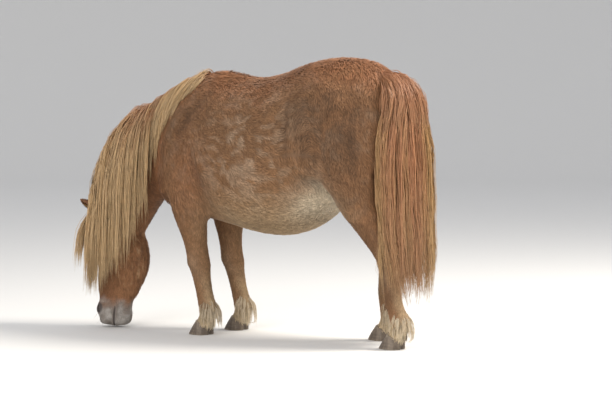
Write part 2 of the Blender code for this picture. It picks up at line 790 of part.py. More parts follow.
def feather_locks(surface, pair, side, draw):
    """Short locks behind the fetlock, which hang down towards the heel."""
    locks = []
    centre = foot_centre(pair, side)
    for i in range(FEATHER_LOCKS):
        angle = HALF_TURN * FEATHER_SPREAD * ((i + 0.5) / FEATHER_LOCKS * 2 - 1)
        out = Vector((math.cos(angle), math.sin(angle), 0))
        start = Vector((centre.x + 0.020, centre.y, FEATHER_HEIGHTS[i % 2]))
        root, _ = surface.nearest(start + out * 0.05)
        length = FEATHER_LENGTH * draw.uniform(0.85, 1.1)
        path = hanging(surface, root, out * 0.35 + DOWN, length, 0.004, 0.3, out * 0.04)
        locks.append(lock(path, FEATHER_WIDTH, lambda p: out))
    return locks


def head_place():
    """Carries the straight head, and what is made on it, to where the neck's turn puts it."""
    yaw = Matrix.Rotation(TURN_ANGLE, 4, "Z")
    poll = Vector((HEAD[0][0], 0, HEAD[0][1]))
    return Matrix.Translation(turned(poll)) @ yaw @ Matrix.Translation(-poll)


def placed(obj):
    obj.data.transform(head_place())
    return obj


def flipped(values, sign):
    return Vector((values[0], sign * values[1], values[2]))


def ear(name, sign, root):
    """A cupped ear, open to the front and side."""
    along = (head_place().to_3x3() @ flipped(EAR_DIRECTION, sign)).normalized()
    opening = head_place().to_3x3() @ flipped(EAR_OPENING, sign)
    opening = (opening - along * opening.dot(along)).normalized()
    across = along.cross(opening)
    rings = []
    for share, radius, gape in spline(EAR, 1):
        middle = root + along * (share * EAR_LENGTH)
        inner = max(radius - EAR_THICKNESS, radius * 0.4)
        first = math.radians(gape / 2)
        angles = [first + (2 * HALF_TURN - 2 * first) * k / (EAR_POINTS - 1) for k in range(EAR_POINTS)]
        ring = []
        for size, turns in ((radius, angles), (inner, reversed(angles))):
            for turn in turns:
                aside = across * (size * math.sin(turn))
                ring.append(middle + opening * (0.8 * size * math.cos(turn)) + aside)
        rings.append(ring)
    return loft(name, rings)


def tube(name, path, radii, sides=6):
    """A closed tube along a path, with a radius at each point."""
    rings = []
    for i, (point, radius) in enumerate(zip(path, radii)):
        along = (path[min(i + 1, len(path) - 1)] - path[max(i - 1, 0)]).normalized()
        across = along.orthogonal() if i == 0 else across - along * across.dot(along)
        across.normalize()
        other = along.cross(across)
        ring = []
        for k in range(sides):
            turn = 2 * HALF_TURN * k / sides
            ring.append(point + across * (radius * math.cos(turn)) + other * (radius * math.sin(turn)))
        rings.append(ring)
    return loft(name, rings)


def lids(sign):
    """The upper and lower lid of one eye, as two bowed rolls that meet at its corners."""
    centre = flipped(EYE, sign)
    corner = flipped(LID_CORNER, sign)
    front = flipped(LID_FRONT, sign)
    out = corner.cross(front).normalized() * -sign
    rolls = []
    for bow, thick in LID_ROLLS:
        path, radii = [], []
        for k in range(LID_POINTS):
            angle = HALF_TURN * k / (LID_POINTS - 1)
            arc = math.sin(angle)
            along = centre + corner * (LID_LENGTH * math.cos(angle))
            path.append(along + front * (bow * arc) + out * (LID_BULGE * arc))
            radii.append(thick * (0.45 + 0.55 * arc))
        rolls.append(placed(tube("lid", path, radii)))
    return rolls


def face(head):
    """Sets the eyes in the head with their lids, and cuts the nostrils and the line of the mouth."""
    rolls = [roll for sign in SIDES.values() for roll in lids(sign)]
    boolean(head, "UNION", rolls)
    cuts, eyes = [], []
    for side, sign in SIDES.items():
        eye = placed(ball(f"eye_{side}", flipped(EYE, sign), EYE_RADII, segments=EYE_POINTS))
        eyes.append(eye)
        cuts.append(grown(eye, GAP))
        cuts.append(placed(ball("nostril", flipped(NOSTRIL, sign), NOSTRIL_RADII, NOSTRIL_TILT, 12)))
        cuts.append(placed(ball("mouth", flipped(MOUTH, sign), MOUTH_RADII, MOUTH_TILT, 12)))
    cuts.append(placed(ball("lips", LIPS, LIPS_RADII, MOUTH_TILT, 12)))
    for cut in cuts:
        boolean(head, "DIFFERENCE", [cut])
    return eyes


def parted_legs(torso, surface, draw):
    """Parts each leg from the torso and from its hoof, and sets its feather."""
    legs = []
    for pair, planes in (("fore", FORE_LEG_PLANES), ("hind", HIND_LEG_PLANES)):
        for side, sign in SIDES.items():
            limb = parted(torso, f"{pair}_leg_{side}", mirrored(planes, sign))
            centre = foot_centre(pair, side)
            boolean(limb, "DIFFERENCE", [below_coronet(centre)])
            foot = hoof(f"{pair}_hoof_{side}", centre)
            boolean(limb, "UNION", feather_locks(surface, pair, side, draw))
            boolean(limb, "DIFFERENCE", [grown(foot, GAP)])
            legs.append(limb)
    return legs


def set_ears(head, neck, surface):
    ears = []
    for side, sign in SIDES.items():
        root, _ = surface.nearest(head_place() @ flipped(EAR_ROOT, sign))
        ears.append(ear(f"ear_{side}", sign, root))
        for flesh_node in (head, neck):
            boolean(ears[-1], "DIFFERENCE", [grown(flesh_node, GAP)])
        keep_largest(ears[-1])
    return ears


def hull(obj, distance):
    """The convex hull of a body, grown outwards, to keep hair clear of it."""
    bm = bmesh.new()
    bm.from_mesh(obj.data)
    found = bmesh.ops.convex_hull(bm, input=bm.verts)
    outer = {item for item in found["geom"] if isinstance(item, bmesh.types.BMFace)}
    bmesh.ops.delete(bm, geom=[face for face in bm.faces if face not in outer], context="FACES")
    wrap = object_of("hull", bm)
    bigger = grown(wrap, distance)
    bpy.data.objects.remove(wrap)
    return bigger


def forelock_planes():
    place = head_place()
    return [(place @ Vector(point), place.to_3x3() @ Vector(normal)) for point, normal in FORELOCK_PLANES]


def grown_mane(neck, head, torso, small, surface, draw):
    """Sets the mane on the neck and the forelock on the head, clear of all else and of each other."""
    mane = joined(mane_locks(surface, draw))
    forelock = joined(forelock_locks(surface, draw))
    boolean(forelock, "INTERSECT", [region(forelock_planes())])
    boolean(mane, "DIFFERENCE", [region(forelock_planes(), 2 * GAP)])
    for hair, others in ((mane, (head, torso)), (forelock, (neck,))):
        for other in others:
            boolean(hair, "DIFFERENCE", [grown(other, 3 * GAP)])
        for one in small:
            clear = EYE_CLEAR if one.name.startswith("eye") else 3 * GAP
            boolean(hair, "DIFFERENCE", [hull(one, clear)])
    for node, hair in ((neck, mane), (head, forelock)):
        boolean(node, "UNION", [hair])
        keep_largest(node)


def grown_tail(torso, legs, surface, draw):
    tail = tail_core()
    boolean(tail, "UNION", tail_locks(surface, draw))
    for other in (torso, *legs):
        boolean(tail, "DIFFERENCE", [grown(other, 3 * GAP)])
    return tail


def material(name, colour, roughness):
    made = bpy.data.materials.new(name)
    made.use_nodes = True
    shader = made.node_tree.nodes["Principled BSDF"]
    shader.inputs["Base Color"].default_value = (*colour, 1)
    shader.inputs["Roughness"].default_value = roughness
    made.diffuse_color = (*colour, 1)
    return made


def finish(nodes):
    """Gives each node its material and smooth shading, and stands the pony on the middle of its base."""
    made = {name: material(name, *look) for name, look in MATERIALS.items()}
    corners = [vertex.co for obj in nodes for vertex in obj.data.vertices]
    low = Vector(min(c[i] for c in corners) for i in range(3))
    high = Vector(max(c[i] for c in corners) for i in range(3))
    to_origin = Matrix.Translation((-(low.x + high.x) / 2, -(low.y + high.y) / 2, -low.z))
    for obj in nodes:
        obj.data.transform(to_origin)
        obj.data.materials.clear()
        slot = next(name for name, words in NODE_MATERIALS.items() if any(w in obj.name for w in words))
        obj.data.materials.append(made[slot])
        obj.data.shade_smooth()
        obj.data.set_sharp_from_angle(angle=math.radians(40))


def main():
    clear_scene()
    draw = random.Random(7)
    torso = flesh()
    surface = Surface(torso)
    head = parted(torso, "head", head_planes())
    neck = parted(torso, "neck", [NECK_PLANE])
    legs = parted_legs(torso, surface, draw)
    eyes = face(head)
    ears = set_ears(head, neck, surface)
    grown_mane(neck, head, torso, ears + eyes, surface, draw)
    tail = grown_tail(torso, legs, surface, draw)
    for obj in (torso, tail, *legs):
        keep_largest(obj)
    finish(list(bpy.data.objects))


main()
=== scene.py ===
"""The looks of the grazing Shetland pony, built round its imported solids.

The flesh is lofted from the same sections as the solids, in the frame that they were modelled in, and is
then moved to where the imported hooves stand. One skin stands for all the flesh and lies a coat's depth inside
it. Short tufts, built as arrays of thin closed blades, follow the lie of the coat over the skin. The mane,
forelock, tail and feather are many fine strands that follow guides, which leave the skin and hang as real
hair does.
"""

import math
import random

import bmesh
import bpy
import numpy as np
from mathutils import Matrix, Vector
from mathutils.bvhtree import BVHTree

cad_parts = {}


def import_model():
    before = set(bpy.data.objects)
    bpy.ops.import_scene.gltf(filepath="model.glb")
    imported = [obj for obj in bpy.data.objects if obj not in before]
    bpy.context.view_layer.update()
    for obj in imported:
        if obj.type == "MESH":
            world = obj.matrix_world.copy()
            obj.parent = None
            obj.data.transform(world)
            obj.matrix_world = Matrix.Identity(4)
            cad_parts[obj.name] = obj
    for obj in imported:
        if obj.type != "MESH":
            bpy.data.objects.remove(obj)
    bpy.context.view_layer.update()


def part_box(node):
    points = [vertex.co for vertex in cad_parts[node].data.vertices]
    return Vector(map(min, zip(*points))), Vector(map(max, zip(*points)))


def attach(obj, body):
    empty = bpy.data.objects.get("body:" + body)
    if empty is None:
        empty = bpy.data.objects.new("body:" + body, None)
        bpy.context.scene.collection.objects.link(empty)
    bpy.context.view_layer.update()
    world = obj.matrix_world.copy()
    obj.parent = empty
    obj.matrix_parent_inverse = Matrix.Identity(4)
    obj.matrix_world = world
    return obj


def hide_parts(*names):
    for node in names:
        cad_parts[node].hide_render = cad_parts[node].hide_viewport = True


HALF_TURN = math.pi
DOWN = Vector((0, 0, -1))
SIDES = {"left": -1, "right": 1}

# The photograph's view: where the camera stands, and the pixel at which a point of the pony is seen.
IMAGE_WIDTH = 612
IMAGE_HEIGHT = 408
VIEW_AZIMUTH = math.radians(33)
VIEW_ELEVATION = math.radians(3)
VIEW_DISTANCE = 8.0
PIXELS_PER_METRE = 262
ANCHOR = Vector((0, 0, 0.5))
ANCHOR_PIXEL = (270, 205)
SENSOR_WIDTH = 36.0
FLOOR_RADIUS = 14.0
FLOOR_BEND = 6.0
FLOOR_POINTS = 96
WALL_HEIGHT = 8.0

VOXEL = 0.008  # grid on which the lofts are fused, before they are subdivided
RING_POINTS = 28

# The neck and head are modelled straight ahead and then turned to the pony's left.
TURN_START = -0.30
TURN_LENGTH = 0.24
TURN_ANGLE = math.radians(18)

# Trunk sections from breast to buttock: x, height of the top, of the underside and of the widest line,
# half width, and how sharp the ridge of the back is (1 is round).
TRUNK = (
    (-0.462, 0.740, 0.570, 0.650, 0.070, 1.0),
    (-0.430, 0.840, 0.510, 0.660, 0.135, 1.0),
    (-0.360, 0.950, 0.466, 0.680, 0.176, 1.1),
    (-0.270, 1.006, 0.442, 0.680, 0.198, 1.35),
    (-0.160, 0.996, 0.422, 0.660, 0.228, 1.2),
    (-0.030, 0.982, 0.396, 0.635, 0.262, 1.0),
    (0.090, 0.998, 0.388, 0.630, 0.274, 0.92),
    (0.200, 1.034, 0.420, 0.670, 0.258, 0.9),
    (0.300, 1.052, 0.492, 0.740, 0.234, 0.88),
    (0.400, 1.050, 0.570, 0.780, 0.208, 0.9),
    (0.485, 1.026, 0.630, 0.790, 0.170, 0.95),
    (0.548, 0.962, 0.680, 0.800, 0.110, 1.0),
)
# Neck sections from inside the shoulders to the poll: crest x and z, underline x and z, half width.
NECK = (
    (-0.220, 0.988, -0.330, 0.520, 0.130),
    (-0.350, 0.972, -0.430, 0.535, 0.135),
    (-0.480, 0.902, -0.480, 0.515, 0.112),
    (-0.592, 0.790, -0.518, 0.465, 0.092),
    (-0.670, 0.655, -0.548, 0.415, 0.082),
    (-0.722, 0.535, -0.575, 0.375, 0.076),
    (-0.735, 0.470, -0.600, 0.345, 0.064),
)
# Head sections from the poll to the lips: front (face line) x and z, back (jaw line) x and z, half width.
HEAD = (
    (-0.705, 0.482, -0.620, 0.440, 0.046),
    (-0.745, 0.455, -0.575, 0.375, 0.072),
    (-0.763, 0.400, -0.556, 0.320, 0.082),
    (-0.766, 0.340, -0.550, 0.270, 0.086),
    (-0.762, 0.275, -0.562, 0.212, 0.076),
    (-0.757, 0.210, -0.592, 0.158, 0.061),
    (-0.757, 0.150, -0.616, 0.110, 0.051),
    (-0.762, 0.100, -0.624, 0.078, 0.052),
    (-0.761, 0.056, -0.622, 0.046, 0.052),
    (-0.748, 0.022, -0.632, 0.019, 0.044),
    (-0.722, 0.006, -0.655, 0.005, 0.026),
)
# Legs from inside the body to the coronet: centre x, y and z, half depth (fore and aft) and half width.
FORE_LEG = (
    (-0.315, 0.130, 0.640, 0.088, 0.052),
    (-0.290, 0.130, 0.520, 0.084, 0.060),
    (-0.283, 0.121, 0.440, 0.068, 0.056),
    (-0.272, 0.111, 0.360, 0.050, 0.044),
    (-0.264, 0.106, 0.305, 0.046, 0.042),
    (-0.259, 0.105, 0.272, 0.048, 0.043),
    (-0.250, 0.104, 0.235, 0.040, 0.036),
    (-0.238, 0.104, 0.180, 0.036, 0.031),
    (-0.225, 0.104, 0.130, 0.037, 0.032),
    (-0.212, 0.104, 0.101, 0.043, 0.038),
    (-0.215, 0.104, 0.076, 0.037, 0.035),
    (-0.225, 0.104, 0.052, 0.036, 0.037),
    (-0.235, 0.104, 0.020, 0.037, 0.038),
)
HIND_LEG = (
    (0.420, 0.130, 0.820, 0.120, 0.062),
    (0.432, 0.146, 0.700, 0.130, 0.074),
    (0.448, 0.144, 0.580, 0.104, 0.068),
    (0.490, 0.128, 0.480, 0.076, 0.055),
    (0.540, 0.114, 0.395, 0.056, 0.043),
    (0.586, 0.110, 0.335, 0.054, 0.038),
    (0.600, 0.110, 0.292, 0.049, 0.038),
    (0.602, 0.110, 0.245, 0.039, 0.034),
    (0.610, 0.110, 0.185, 0.035, 0.031),
    (0.627, 0.110, 0.136, 0.036, 0.032),
    (0.643, 0.110, 0.105, 0.042, 0.038),
    (0.641, 0.110, 0.079, 0.036, 0.035),
    (0.631, 0.110, 0.052, 0.035, 0.036),
    (0.622, 0.110, 0.020, 0.036, 0.037),
)
LEGS = {"fore": FORE_LEG, "hind": HIND_LEG}
# How far back each foot stands from where its leg's sections put it.
STEP = {("fore", "left"): 0.0, ("fore", "right"): 0.02, ("hind", "left"): 0.0, ("hind", "right"): -0.18}

# Hooves: height of the coronet at the middle of the foot, its slope, and levels from the coronet down:
# share of the height, how far the toe lies ahead of the middle and the heel behind it, and half width.
CORONET_HEIGHT = 0.050
CORONET_SLOPE = 0.40
HOOF_LEVELS = (
    (0.00, 0.020, 0.035, 0.036),
    (0.12, 0.026, 0.037, 0.038),
    (1.00, 0.062, 0.033, 0.047),
)
SOLE_SHIFT = -0.004  # from the middle of the lowest section to the middle of the foot
HOOF_POINTS = 64
HOOF_RINGS = 26
LEG_TOP = {"fore": 0.41, "hind": 0.47}  # heights where the legs leave the trunk
BREAST = -0.45  # nothing ahead of this is a leg

EYE = (-0.712, 0.0635, 0.352)
EYE_RADIUS = 0.0186
EAR_ROOT = (-0.745, 0.040, 0.452)
EAR_DIRECTION = (-0.78, 0.30, 0.58)
EAR_OPENING = (-0.75, 0.62, -0.30)
EAR_LENGTH = 0.102
# Ear sections from root to tip: share of the length, half width, and how far the cup is open, in degrees.
EAR = (
    (-0.14, 0.018, 40),
    (0.06, 0.021, 70),
    (0.25, 0.025, 110),
    (0.50, 0.025, 130),
    (0.72, 0.019, 130),
    (0.90, 0.010, 120),
    (1.00, 0.003, 110),
)
EAR_THICKNESS = 0.0042
EAR_POINTS = 26
NOSTRIL = (-0.748, 0.040, 0.078)
NOSTRIL_TILT = math.radians(-24)
MOUTH_X = -0.686
MOUTH_TILT = math.radians(6)
MOUTH_TOP = 0.092

# Muscles and bony points that stand out of the lofts: centre, half sizes and tilt about Y in degrees.
MUSCLES = {
    "shoulder_blade": ((-0.300, 0.125, 0.740), (0.080, 0.060, 0.170), 22),
    "shoulder_point": ((-0.385, 0.100, 0.600), (0.070, 0.062, 0.085), 0),
    "breast": ((-0.400, 0.060, 0.590), (0.070, 0.070, 0.110), 0),
    "upper_arm": ((-0.290, 0.130, 0.550), (0.105, 0.056, 0.085), 35),
    "haunch": ((0.330, 0.120, 0.850), (0.150, 0.108, 0.140), 20),
    "rump": ((0.410, 0.085, 0.870), (0.120, 0.096, 0.125), 0),
    "thigh": ((0.420, 0.135, 0.700), (0.122, 0.092, 0.190), -8),
    "buttock": ((0.500, 0.090, 0.760), (0.072, 0.075, 0.150), 0),
}
HEAD_MUSCLES = {
    "cheek": ((-0.625, 0.043, 0.305), (0.060, 0.033, 0.080), 8),
    "brow": ((-0.722, 0.052, 0.352), (0.032, 0.030, 0.038), 0),
    "face_crest": ((-0.690, 0.046, 0.262), (0.022, 0.022, 0.070), 0),
    "nostril": ((-0.738, 0.027, 0.072), (0.025, 0.027, 0.036), 0),
    "nose_bone": ((-0.742, 0.014, 0.190), (0.020, 0.024, 0.090), 0),
    "upper_lip": ((-0.722, 0.016, 0.034), (0.036, 0.032, 0.026), -12),
    "lower_lip": ((-0.656, 0.010, 0.034), (0.027, 0.030, 0.027), 0),
    "poll": ((-0.722, 0.012, 0.452), (0.036, 0.036, 0.036), 0),
}

# Creases of the body on both sides: where each starts and ends (x and z), its half width and its depth.
CREASES = (
    (0.200, 0.960, 0.238, 0.650, 0.020, 0.0060),
    (0.238, 0.650, 0.420, 0.520, 0.018, 0.0075),
    (-0.250, 0.740, -0.165, 0.530, 0.018, 0.0090),
    (0.455, 0.880, 0.505, 0.600, 0.020, 0.0045),
    (-0.345, 0.700, -0.215, 0.930, 0.024, 0.0035),
    (-0.520, 0.560, -0.400, 0.610, 0.020, 0.0050),
)

# Length of the mane's hair along the crest, from the poll (0) to the withers (1).
MANE_LENGTH = (
    (0.0, 0.34),
    (0.2, 0.50),
    (0.3, 0.56),
    (0.4, 0.66),
    (0.54, 0.72),
    (0.62, 0.67),
    (0.70, 0.38),
    (0.82, 0.27),
    (0.92, 0.22),
    (1.0, 0.12),
)
# Layers of the mane: guides, where along the crest they start and stop, how far each root lies to the right
# of the crest, the side they fall to, how far they lie off the neck, share of the length, how steeply they
# rise from the crest, and how far they lean ahead as they fall.
MANE_LAYERS = (
    (66, 0.05, 0.66, -0.026, "left", 0.004, 0.92, 0.5, 0.02),
    (88, 0.05, 0.65, -0.008, "left", 0.018, 1.00, 1.0, 0.03),
    (90, 0.06, 0.64, 0.002, "left", 0.030, 1.00, 1.4, 0.03),
    (44, 0.62, 1.00, -0.030, "left", 0.004, 0.85, 0.4, 0.02),
    (48, 0.60, 1.00, -0.006, "left", 0.012, 1.00, 0.9, 0.04),
    (60, 0.12, 0.98, 0.014, "right", 0.006, 0.46, 0.9, 0.03),
)
# Rings of the forelock: guides, how far they lie off the face, length, and how far they reach ahead.
FORELOCK_RINGS = ((26, 0.005, 0.24, 0.15), (36, 0.010, 0.27, 0.60), (42, 0.014, 0.29, 1.00))

# A lock of the forelock that the ears push higher or further out than this is left out.
FORELOCK_RISE = 0.006
FORELOCK_SPREAD = 0.118

# The tail from inside the croup down to its tips: middle x and z, half depth and half width of the hair.
TAIL = (
    (0.440, 0.950, 0.030, 0.030),
    (0.505, 0.970, 0.034, 0.042),
    (0.558, 0.952, 0.048, 0.072),
    (0.584, 0.895, 0.062, 0.108),
    (0.590, 0.790, 0.066, 0.136),
    (0.595, 0.640, 0.066, 0.150),
    (0.604, 0.470, 0.065, 0.152),
    (0.618, 0.300, 0.060, 0.146),
    (0.630, 0.145, 0.046, 0.112),
)
# Tiers of the tail: guides, share of the tail's length at their roots and tips, how far out they lie.
TAIL_TIERS = (
    (60, 0.40, 0.97, 0.40),
    (90, 0.26, 1.00, 0.74),
    (110, 0.13, 0.98, 1.02),
    (80, 0.06, 0.42, 1.00),
)

# Colours of the coat and hair, as linear red, green and blue.
CHESTNUT = (0.238, 0.122, 0.056)
RED_BROWN = (0.300, 0.124, 0.054)
GREY_BROWN = (0.350, 0.256, 0.176)
DARK_BROWN = (0.090, 0.046, 0.022)
TAN = (0.320, 0.172, 0.086)
CREAM = (0.600, 0.460, 0.275)
PALE_CREAM = (0.720, 0.620, 0.460)
MUZZLE_GREY = (0.300, 0.265, 0.235)
MUZZLE_PALE = (0.55, 0.52, 0.48)
SKIN_DARK = (0.055, 0.042, 0.038)
FLAXEN = (0.465, 0.278, 0.116)
PALE_FLAXEN = (0.695, 0.502, 0.280)
# Flaxen in painted shade, for the darker clumps of the mane
SHADED_FLAXEN = (0.215, 0.122, 0.056)
TAIL_RED = (0.490, 0.222, 0.106)
CHEEK_RED = (0.420, 0.205, 0.098)
FEATHER_CREAM = (0.540, 0.420, 0.285)
LASH_BROWN = (0.050, 0.032, 0.022)

# Depth that the skin lies inside the solids' surface, by place.
DEPTH_BODY = 0.0045
DEPTH_FACE = 0.0018
DEPTH_LEG = 0.0030

# Tufts of the short coat: how many stand on a square metre, and their length, width and lift.
COAT = {
    "body": (48500, 0.021, 0.0038, 0.28),
    "top": (69000, 0.029, 0.0036, 0.62),
    "leg": (80000, 0.012, 0.0027, 0.30),
    "face": (112000, 0.0085, 0.0021, 0.26),
    "shag": (60000, 0.032, 0.0030, 0.45),
}


def smooth_step(t):
    t = min(max(t, 0.0), 1.0)
    return t * t * (3 - 2 * t)


def ramp(values, low, high):
    """0 below low and 1 above high, smooth between them, for arrays."""
    t = np.clip((values - low) / (high - low), 0.0, 1.0)
    return t * t * (3 - 2 * t)


def bell(values, middle, width):
    return np.exp(-(((values - middle) / width) ** 2))


def around(count):
    """Angles at even steps round a full turn."""
    return [2 * HALF_TURN * i / count for i in range(count)]


def turned(point):
    """Carries a point of the straight neck or head round to where the pony's left turn puts it."""
    ahead = TURN_START - point.x
    if ahead <= 0:
        return point.copy()
    steps = 24
    x, y = TURN_START, 0.0
    for i in range(steps):
        t = (i + 0.5) / steps * ahead
        angle = TURN_ANGLE * smooth_step(t / TURN_LENGTH)
        x -= math.cos(angle) * ahead / steps
        y -= math.sin(angle) * ahead / steps
    angle = TURN_ANGLE * smooth_step(ahead / TURN_LENGTH)
    return Vector((x - point.y * math.sin(angle), y + point.y * math.cos(angle), point.z))


def curve_value(a, b, c, d, t):
    """The Catmull-Rom value at t between b and c."""
    second = 2 * a - 5 * b + 4 * c - d
    third = 3 * b - a - 3 * c + d
    return 0.5 * (2 * b + (c - a) * t + second * t**2 + third * t**3)


def spline(rows, per_span=4):
    """Catmull-Rom rows between the given ones, so that a few sections make a smooth form."""
    rows = [list(row) for row in rows]
    before = [2 * a - b for a, b in zip(rows[0], rows[1])]
    after = [2 * a - b for a, b in zip(rows[-1], rows[-2])]
    padded = [before, *rows, after]
    found = []
    for i in range(1, len(padded) - 2):
        for k in range(per_span):
            found.append([curve_value(*four, k / per_span) for four in zip(*padded[i - 1 : i + 3])])
    return found + [rows[-1]]


def linked(name, mesh):
    obj = bpy.data.objects.new(name, mesh)
    bpy.context.scene.collection.objects.link(obj)
    return obj


def object_of(name, bm, triangles=True):
    if triangles:
        bmesh.ops.triangulate(bm, faces=bm.faces)
    bmesh.ops.recalc_face_normals(bm, faces=bm.faces)
    mesh = bpy.data.meshes.new(name)
    bm.to_mesh(mesh)
    bm.free()
    return linked(name, mesh)


def loft(name, rings, triangles=True):
    """A closed body through rings of points, with its two ends capped."""
    bm = bmesh.new()
    loops = [[bm.verts.new(p) for p in ring] for ring in rings]
    count = len(loops[0])
    for lower, upper in zip(loops, loops[1:]):
        for i in range(count):
            j = (i + 1) % count
            bm.faces.new((lower[i], lower[j], upper[j], upper[i]))
    bm.faces.new(loops[0])
    bm.faces.new(loops[-1])
    return object_of(name, bm, triangles)


def ball(name, centre, radii, tilt=0.0, segments=20):
    """An ellipsoid of the given half sizes, tilted about the Y axis by degrees."""
    bm = bmesh.new()
    turn = Matrix.Rotation(math.radians(tilt), 4, "Y")
    place = Matrix.Translation(centre) @ turn @ Matrix.Diagonal((*radii, 1))
    bmesh.ops.create_uvsphere(bm, u_segments=segments, v_segments=segments // 2, radius=1, matrix=place)
    return object_of(name, bm)


def trunk():
    rings = []
    for x, top, bottom, widest, half_width, ridge in spline(TRUNK):
        ring = []
        for angle in around(RING_POINTS):
            up, side = math.cos(angle), math.sin(angle)
            reach = top - widest if up > 0 else widest - bottom
            sharp = ridge if up > 0 else 0.95
            y = half_width * math.copysign(abs(side) ** sharp, side)
            ring.append(Vector((x, y, widest + reach * up)))
        rings.append(ring)
    return loft("trunk", rings)


def profile_loft(name, sections, back_width=1.0):
    """A loft of sections given by a front point, a back point and a half width, turned to the left."""
    rings = []
    for fx, fz, bx, bz, half_width in spline(sections):
        front, back = Vector((fx, 0, fz)), Vector((bx, 0, bz))
        middle, reach = (front + back) / 2, (front - back) / 2
        ring = []
        for angle in around(RING_POINTS):
            share = 1 + (back_width - 1) * (1 - math.cos(angle)) / 2
            across = Vector((0, half_width * share * math.sin(angle), 0))
            ring.append(turned(middle + reach * math.cos(angle) + across))
        rings.append(ring)
    return loft(name, rings)


def leg(name, sections, side, shift):
    """A leg on one side. shift moves the foot fore and aft, growing down the leg."""
    rings = []
    top = sections[0][2]
    for x, y, z, depth, width in spline(sections):
        x += shift * smooth_step((top - z) / top)
        ring = []
        for angle in around(RING_POINTS):
            ring.append(Vector((x + depth * math.cos(angle), side * y + width * math.sin(angle), z)))
        rings.append(ring)
    return loft(name, rings)


def flipped(values, sign):
    """A place or direction as it is on the right side (1) or the left (-1)."""
    return Vector((values[0], sign * values[1], values[2]))


def balls(muscles, place=lambda point: point):
    made = []
    for centre, radii, tilt in muscles.values():
        for side in SIDES.values():
            made.append(ball("muscle", place(flipped(centre, side)), radii, tilt))
    return made


def apply_modifiers(obj):
    graph = bpy.context.evaluated_depsgraph_get()
    mesh = bpy.data.meshes.new_from_object(obj.evaluated_get(graph))
    obj.modifiers.clear()
    obj.data = mesh


def boolean(body, operation, pieces):
    """Joins a body with closed pieces or cuts it by them. The pieces are then removed."""
    operands = bpy.data.collections.new("operands")
    for piece in pieces:
        operands.objects.link(piece)
    modifier = body.modifiers.new("Boolean", "BOOLEAN")
    modifier.operation = operation
    modifier.solver = "MANIFOLD"
    modifier.operand_type = "COLLECTION"
    modifier.collection = operands
    apply_modifiers(body)
    for piece in pieces:
        bpy.data.objects.remove(piece)
    bpy.data.collections.remove(operands)


def region(planes):
    """The space behind every plane, each a point and an outward normal."""
    bm = bmesh.new()
    bmesh.ops.create_cube(bm, size=4)
    for point, normal in planes:
        normal = Vector(normal).normalized()
        everything = bm.verts[:] + bm.edges[:] + bm.faces[:]
        plane = {"plane_co": Vector(point), "plane_no": normal}
        cut = bmesh.ops.bisect_plane(bm, geom=everything, clear_outer=True, **plane)
        rim = [item for item in cut["geom_cut"] if isinstance(item, bmesh.types.BMEdge)]
        bmesh.ops.edgeloop_fill(bm, edges=rim)
    return object_of("region", bm)


def weigh(obj, name, share):
    """A vertex group whose weight at each vertex is share(point), held between 0 and 1."""
    group = obj.vertex_groups.new(name=name)
    for vertex in obj.data.vertices:
        group.add([vertex.index], min(max(share(vertex.co), 0.0), 1.0), "REPLACE")
    return group.name


def fleshiness(point):
    """How soft the form is at a point: 1 on the trunk, 0 on the lower legs and the muzzle."""
    if point.x > -0.44:
        return (point.z - 0.36) / 0.16
    return (point.z - 0.14) / 0.25


def fused(name, pieces):
    """One smooth body from overlapping closed pieces, which are then removed."""
    bm = bmesh.new()
    for piece in pieces:
        bm.from_mesh(piece.data)
        bpy.data.objects.remove(piece)
    body = object_of(name, bm)
    remesh = body.modifiers.new("Fuse", "REMESH")
    remesh.mode = "VOXEL"
    remesh.voxel_size = VOXEL
    apply_modifiers(body)
    fleshy = weigh(body, "fleshy", fleshiness)
    for group, rounds in ((fleshy, 26), ("", 5)):
        smooth = body.modifiers.new("Smooth", "SMOOTH")
        smooth.factor = 0.5
        smooth.iterations = rounds
        smooth.vertex_group = group
    apply_modifiers(body)
    body.vertex_groups.clear()
    return body


def flesh():
    """The whole body as one closed mesh, on the grid of the solids."""
    pieces = [trunk(), profile_loft("neck", NECK), profile_loft("head", HEAD, back_width=0.8)]
    for (pair, side), step in STEP.items():
        pieces.append(leg("leg", LEGS[pair], SIDES[side], step))
    return fused("skin", pieces + balls(MUSCLES) + balls(HEAD_MUSCLES, turned))


def head_place():
    """Carries the straight head, and what is made on it, to where the neck's turn puts it."""
    yaw = Matrix.Rotation(TURN_ANGLE, 4, "Z")
    poll = Vector((HEAD[0][0], 0, HEAD[0][1]))
    return Matrix.Translation(turned(poll)) @ yaw @ Matrix.Translation(-poll)


def moved_by(matrix, points):
    """An array of points carried by a matrix."""
    turn = np.array(matrix.to_3x3())
    return points @ turn.T + np.array(matrix.to_translation())


def straight(points):
    """Points of the turned head as they lie on the straight one."""
    return moved_by(head_place().inverted(), points)


def coords(mesh):
    found = np.empty(len(mesh.vertices) * 3)
    mesh.vertices.foreach_get("co", found)
    return found.reshape(-1, 3)


def normals(mesh):
    found = np.empty(len(mesh.vertices) * 3)
    mesh.vertex_normals.foreach_get("vector", found)
    return found.reshape(-1, 3)


def set_coords(mesh, points):
    mesh.vertices.foreach_set("co", points.astype(np.float32).ravel())
    mesh.update()


def unit(vectors):
    return vectors / np.maximum(np.linalg.norm(vectors, axis=-1, keepdims=True), 1e-12)


def refined(obj, wanted):
    """Splits the faces whose middle point is wanted into smaller ones."""
    bm = bmesh.new()
    bm.from_mesh(obj.data)
    middles = np.array([face.calc_center_median() for face in bm.faces])
    chosen = wanted(middles)
    edges = {edge for face, take in zip(bm.faces, chosen) if take for edge in face.edges}
    bmesh.ops.subdivide_edges(bm, edges=list(edges), cuts=1, use_grid_fill=True)
    bm.to_mesh(obj.data)
    bm.free()


